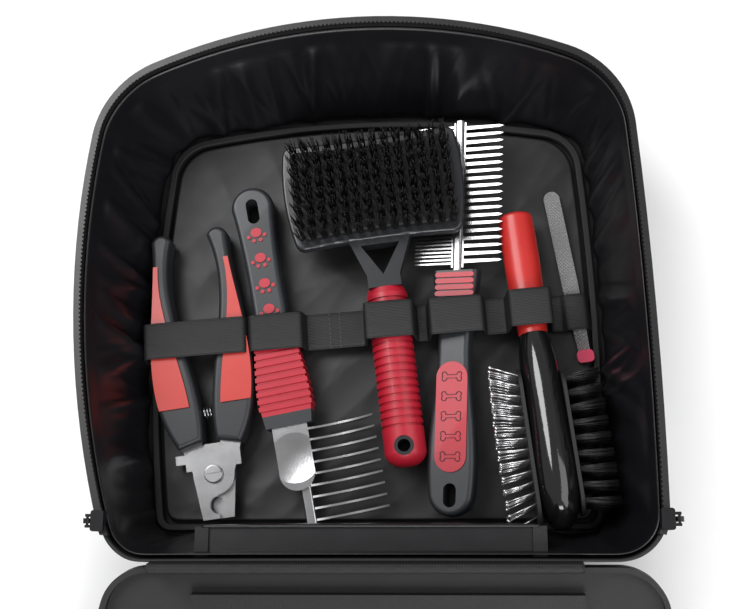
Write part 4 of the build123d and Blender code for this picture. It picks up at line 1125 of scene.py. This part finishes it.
@dataclass
class Tools:
    """Details of the tools and of the elastic band over them, in millimetres on each one's own axes."""

    kit: Kit
    spring_reach: float = 2.3
    spring_y: float = 30.0
    brush_plate: float = 12.0
    brush_tufts: Strands = Strands(
        name="brush_tufts",
        body="brush",
        finish="bristle",
        columns=14,
        rows=8,
        pitch=(5.7, 6.2),
        per_tuft=16,
        spread=1.5,
        radius=0.30,
        length=15.4,
        lean=0.10,
    )
    duo_ball_pins: Strands = Strands(
        name="duo_ball_pins",
        body="duo",
        finish="pin_steel",
        columns=14,
        rows=6,
        pitch=(4.9, 3.6),
        per_tuft=1,
        spread=0.0,
        radius=0.42,
        length=13.4,
        lean=0.06,
        ball=0.9,
        fan=0.012,
    )
    duo_tufts: Strands = Strands(
        name="duo_tufts",
        body="duo",
        finish="bristle",
        columns=9,
        rows=6,
        pitch=(7.0, 3.6),
        per_tuft=14,
        spread=1.1,
        radius=0.26,
        length=16.2,
        lean=0.08,
        fan=0.004,
    )
    duo_middle: float = -52.5
    duo_plate: float = 10.6
    duo_round: float = -23.0
    duo_reach: float = 10.3
    band_start: tuple[float, float] = (-113.1, -20.4)
    band_width: float = 17.6
    band_cloth: float = 0.9
    band_lift: float = 0.7
    band_crown: float = 1.1
    band_curl: float = 0.25
    band_slope: float = 1.0
    band_tail: float = 0.6
    band_overlap: float = 0.1
    band_columns: int = 620
    band_rows: int = 13
    band_softness: int = 13
    band_bridges: tuple[tuple[float, float, float], ...] = (
        (2.3, 51.6, 23.1),
        (54.4, 79.7, 23.1),
        (111.1, 133.8, 29.6),
        (141.9, 167.0, 27.2),
        (179.8, 199.2, 30.5),
        (207.4, 217.8, 10.6),
    )
    band_valleys: tuple[float, ...] = (7.0, 18.5, 13.0, 13.0, 15.0, 8.5, 7.0)
    seams: tuple[float, float] = (92.5, 97.5)
    seam_valley: int = 2
    seam_lift: float = 1.4
    seam_share: float = 0.46
    seam_points: int = 12
    stitch: tuple[float, float, float] = (0.35, 0.35, 1.4)
    stitch_spacing: float = 2.2
    bone_count: int = 5
    bone_middle: float = -71.0
    bone_pitch: float = 9.4
    bone_half: tuple[float, float] = (3.6, 1.05)
    bone_knob: float = 1.15
    bone_knobs: tuple[tuple[int, int, int], ...] = ((1, 1, -50), (-1, 1, -15), (-1, -1, 130), (1, -1, 165))
    knob_arc: int = 246
    knob_step: int = 15
    bone_z: float = 6.15
    bone_line: float = 0.22

    def spring(self) -> bpy.types.Object:
        """Copies the clippers' return spring into a mesh of its own and hides the solid.

        Returns:
            The spring, as a copy of the solid's mesh.
        """
        spring = new_object("return_spring", frame["nodes"]["clipper_spring"].data.copy())
        ends = [Vector((x, self.spring_y, 0)) * MM for x in (-self.spring_reach, self.spring_reach)]
        start, end = (self.kit.clippers.matrix() @ point for point in ends)
        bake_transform(spring)
        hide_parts("clipper_spring")
        return spring

    def brush_bristles(self) -> bpy.types.Object:
        """Grows the tufts of the rectangular brush.

        Returns:
            The tufts.
        """
        base = self.kit.brush.matrix() @ Matrix.Translation(Vector((0, 0, self.brush_plate)) * MM)
        obj = strand_field(self.brush_tufts, base, lambda x, y: True)
        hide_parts("brush_bristles")
        return obj

    def _on_oval(self, x: float, y: float) -> bool:
        """Tells whether a place is on the two-sided brush's oval face, which is round towards its tip."""
        return x > self.duo_round or math.hypot(x - self.duo_round, y) < self.duo_reach

    def _duo_face(self, side: int) -> Matrix:
        """Places one face of the two-sided brush.

        Args:
            side: The left face (-1) or the right one (1).

        Returns:
            The face's frame, with z pointing out of it.
        """
        out = Matrix(((0, 0, side, 0), (1, 0, 0, 0), (0, side, 0, 0), (0, 0, 0, 1)))
        middle = Vector((side * self.duo_plate, self.duo_middle, 0)) * MM
        return self.kit.duo.matrix() @ Matrix.Translation(middle) @ out

    def duo_pins(self) -> bpy.types.Object:
        """Grows the ball-tipped pins of the two-sided brush.

        Returns:
            The pins.
        """
        obj = strand_field(self.duo_ball_pins, self._duo_face(-1), self._on_oval)
        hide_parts("duo_pins")
        return obj

    def duo_bristles(self) -> bpy.types.Object:
        """Grows the bristles of the two-sided brush.

        Returns:
            The tufts.
        """
        obj = strand_field(self.duo_tufts, self._duo_face(1), self._on_oval)
        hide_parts("duo_bristles")
        return obj

    def _band_place(self) -> Matrix:
        """Returns the band's own frame, which starts at its left end."""
        turn = Matrix.Rotation(math.radians(self.kit.band_heading), 4, "Z")
        return Matrix.Translation(Vector((*self.band_start, 0)) * MM) @ turn

    def _band_line(self) -> tuple[np.ndarray, np.ndarray]:
        """Drapes the band's middle line over the tools.

        Returns:
            The places along the band and the heights, evened out.
        """
        bed, lift = self.kit.bed_z + self.band_lift, self.band_lift
        line = [(0.0, bed)]
        for (a, b, z), before, after in zip(self.band_bridges, self.band_valleys, self.band_valleys[1:]):
            line += [(a - self.band_slope, before + lift), (a, z + lift), ((a + b) / 2, z + self.band_crown)]
            line += [(b, z + lift), (b + self.band_slope, after + lift)]
        line.append((line[-1][0] + self.band_tail, bed))
        ahead = [p[0] > last[0] - self.band_overlap for last, p in zip(line, line[1:])]
        at = np.array([p for p, kept in zip(line, [True, *ahead]) if kept])
        steps = np.concatenate([[0], np.cumsum(np.hypot(*np.diff(at, axis=0).T))])
        fine = np.linspace(0, steps[-1], self.band_columns)
        kernel = np.hanning(self.band_softness) / np.hanning(self.band_softness).sum()
        end = self.band_softness // 2
        rough = [np.interp(fine, steps, at[:, i]) for i in (0, 1)]
        x, z = (np.concatenate([r[:end], np.convolve(r, kernel, "valid"), r[-end:]]) for r in rough)
        return x, z

    def band(self) -> bpy.types.Object:
        """Builds the ribbed elastic band, draped over the tools and pulled down between them.

        Returns:
            The band.
        """
        x, z = self._band_line()
        points = []
        for share in np.linspace(-0.5, 0.5, self.band_rows):
            curl = -self.band_curl * (2 * abs(share)) ** 4
            points += [(a, share * self.band_width, b + curl) for a, b in zip(x, z)]
        faces = grid_faces(self.band_rows, self.band_columns, False)
        obj = mesh_object("band_cloth", np.array(points), faces, "elastic")
        obj.data.transform(self._band_place())
        smooth(thicken(obj, self.band_cloth))
        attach(obj, "tray")
        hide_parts("elastic_band")
        return obj

    def stitches(self) -> bpy.types.Object:
        """Sews the band down between the rake and the brush.

        Returns:
            The stitches of both seams.
        """
        half = self.seam_share * self.band_width
        z = self.band_valleys[self.seam_valley] + self.seam_lift
        across = np.linspace(-half, half, self.seam_points)
        lines = [np.array([(x, y, z) for y in across]) for x in self.seams]
        run = Run("band_stitches", "tray", "thread", self.stitch_spacing, self.stitch, "elastic")
        return run_along(run, lines, after=self._band_place())

    def _bone_outline(self) -> list[tuple[float, float]]:
        """Draws one bone as four round knobs that run into each other.

        Returns:
            The outline's points about the bone's middle.
        """
        half_x, half_y = self.bone_half
        outline = []
        for side_x, side_y, low in self.bone_knobs:
            turns = [math.radians(a) for a in range(low, low + self.knob_arc, self.knob_step)]
            x, y = side_x * half_x, side_y * half_y
            outline += [(x + self.bone_knob * math.cos(a), y + self.bone_knob * math.sin(a)) for a in turns]
        return outline

    def bones(self) -> bpy.types.Object:
        """Lays bone outlines along the comb's inlay.

        Returns:
            The outlines as one mesh.
        """
        tube = bpy.data.curves.new("comb_bones", "CURVE")
        tube.dimensions = "3D"
        tube.bevel_depth = self.bone_line * MM
        tube.bevel_resolution = 1
        outline = self._bone_outline()
        for index in range(self.bone_count):
            middle = self.bone_middle + (index - (self.bone_count - 1) / 2) * self.bone_pitch
            spline = tube.splines.new("POLY")
            spline.points.add(len(outline) - 1)
            spline.use_cyclic_u = True
            for point, (x, y) in zip(spline.points, outline):
                point.co = (x * MM, (middle + y) * MM, self.bone_z * MM, 1)
        drawn = new_object("comb_bones", tube)
        depsgraph = bpy.context.evaluated_depsgraph_get()
        mesh = bpy.data.meshes.new_from_object(drawn.evaluated_get(depsgraph))
        bpy.data.objects.remove(drawn)
        mesh.transform(self.kit.comb.matrix())
        mesh.materials.clear()
        mesh.materials.append(SHOP.get("mark"))
        bones = new_object("comb_bone_outlines", mesh)
        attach(smooth(bones), "comb")
        return bones


@dataclass(frozen=True)
class Lamp:
    """A square soft lamp that faces the origin, in metres and watts."""

    name: str
    spot: tuple[float, float, float]
    size: float
    power: float


@dataclass
class Studio:
    """Camera, floor and light. The camera is in degrees, millimetres and pixels."""

    tilt: float = 13.5
    lateral: float = 4.6
    distance: float = 540.0
    focal_pixels: float = 1080.0
    picture_pixels: float = 750.0
    sensor: float = 36.0
    nearest: float = 20.0
    target: tuple[float, float, float] = (0.5, 1.0, 5.0)
    floor_half: float = 3000.0
    floor_z: float = -0.3
    surround: float = 0.36
    lamps: tuple[Lamp, ...] = (
        Lamp("key", (-0.6, 0.5, 1.0), 0.7, 12.0),
        Lamp("fill", (0.8, -0.2, 0.9), 1.0, 6.0),
        Lamp("front", (0.1, -1.0, 0.8), 0.6, 9.0),
    )

    def camera(self) -> None:
        """Sets the camera where the photograph was taken from."""
        tilt, side = math.radians(self.tilt), math.radians(self.lateral)
        view = Vector((-math.sin(side), math.sin(tilt) * math.cos(side), -math.cos(tilt) * math.cos(side)))
        right = view.cross(Vector((0, 1, 0))).normalized()
        up = right.cross(view)
        data = bpy.data.cameras.new("camera")
        data.sensor_width = self.sensor
        data.lens = self.sensor * self.focal_pixels / self.picture_pixels
        data.clip_start = self.nearest * MM
        camera = new_object("camera", data)
        spot = (Vector(self.target) - view * self.distance) * MM
        camera.matrix_world = Matrix.Translation(spot) @ Matrix((right, up, -view)).transposed().to_4x4()
        bpy.context.scene.camera = camera

    def floor(self) -> None:
        """Lays a plain pale floor."""
        corners = ((-1, -1), (1, -1), (1, 1), (-1, 1))
        points = np.array([(x * self.floor_half, y * self.floor_half, self.floor_z) for x, y in corners])
        mesh_object("floor", points, [(0, 1, 2, 3)], "floor")

    def lights(self) -> None:
        """Hangs the soft lamps and sets a pale surround."""
        for lamp in self.lamps:
            light = bpy.data.lights.new(lamp.name, "AREA")
            light.size = lamp.size
            light.energy = lamp.power
            turn = (-Vector(lamp.spot)).to_track_quat("-Z", "Y").to_matrix().to_4x4()
            new_object(lamp.name, light).matrix_world = Matrix.Translation(lamp.spot) @ turn
        world = bpy.data.worlds.new("surround")
        world.use_nodes = True
        background = world.node_tree.nodes["Background"]
        background.inputs["Color"].default_value = (1, 1, 1, 1)
        background.inputs["Strength"].default_value = self.surround
        bpy.context.scene.world = world
        bpy.context.scene.view_settings.view_transform = "Standard"


def paint_solids() -> None:
    """Gives every solid the finish of its own slot."""
    for entry in frame["record"]["subparts"]:
        mesh = frame["nodes"][entry["node"]].data
        mesh.materials.clear()
        mesh.materials.append(SHOP.get(entry["material_slot"]))


def main() -> None:
    """Builds the whole scene and reports each piece."""
    logging.basicConfig(level=logging.INFO)
    paint_solids()
    case = Case(KIT)
    pieces = [case.lining(), case.panel(), case.shell(), case.spine(), case.pocket(), case.hinge_cloth()]
    pieces += case.zip_teeth()
    tools = Tools(KIT)
    pieces += [tools.spring(), tools.brush_bristles(), tools.duo_pins(), tools.duo_bristles()]
    pieces += [tools.band(), tools.stitches(), tools.bones()]
    for piece in pieces:
        LOG.info("%s has %d faces", piece.name, len(piece.data.polygons))
    studio = Studio()
    studio.camera()
    studio.floor()
    studio.lights()


if __name__ == "__main__":
    main()
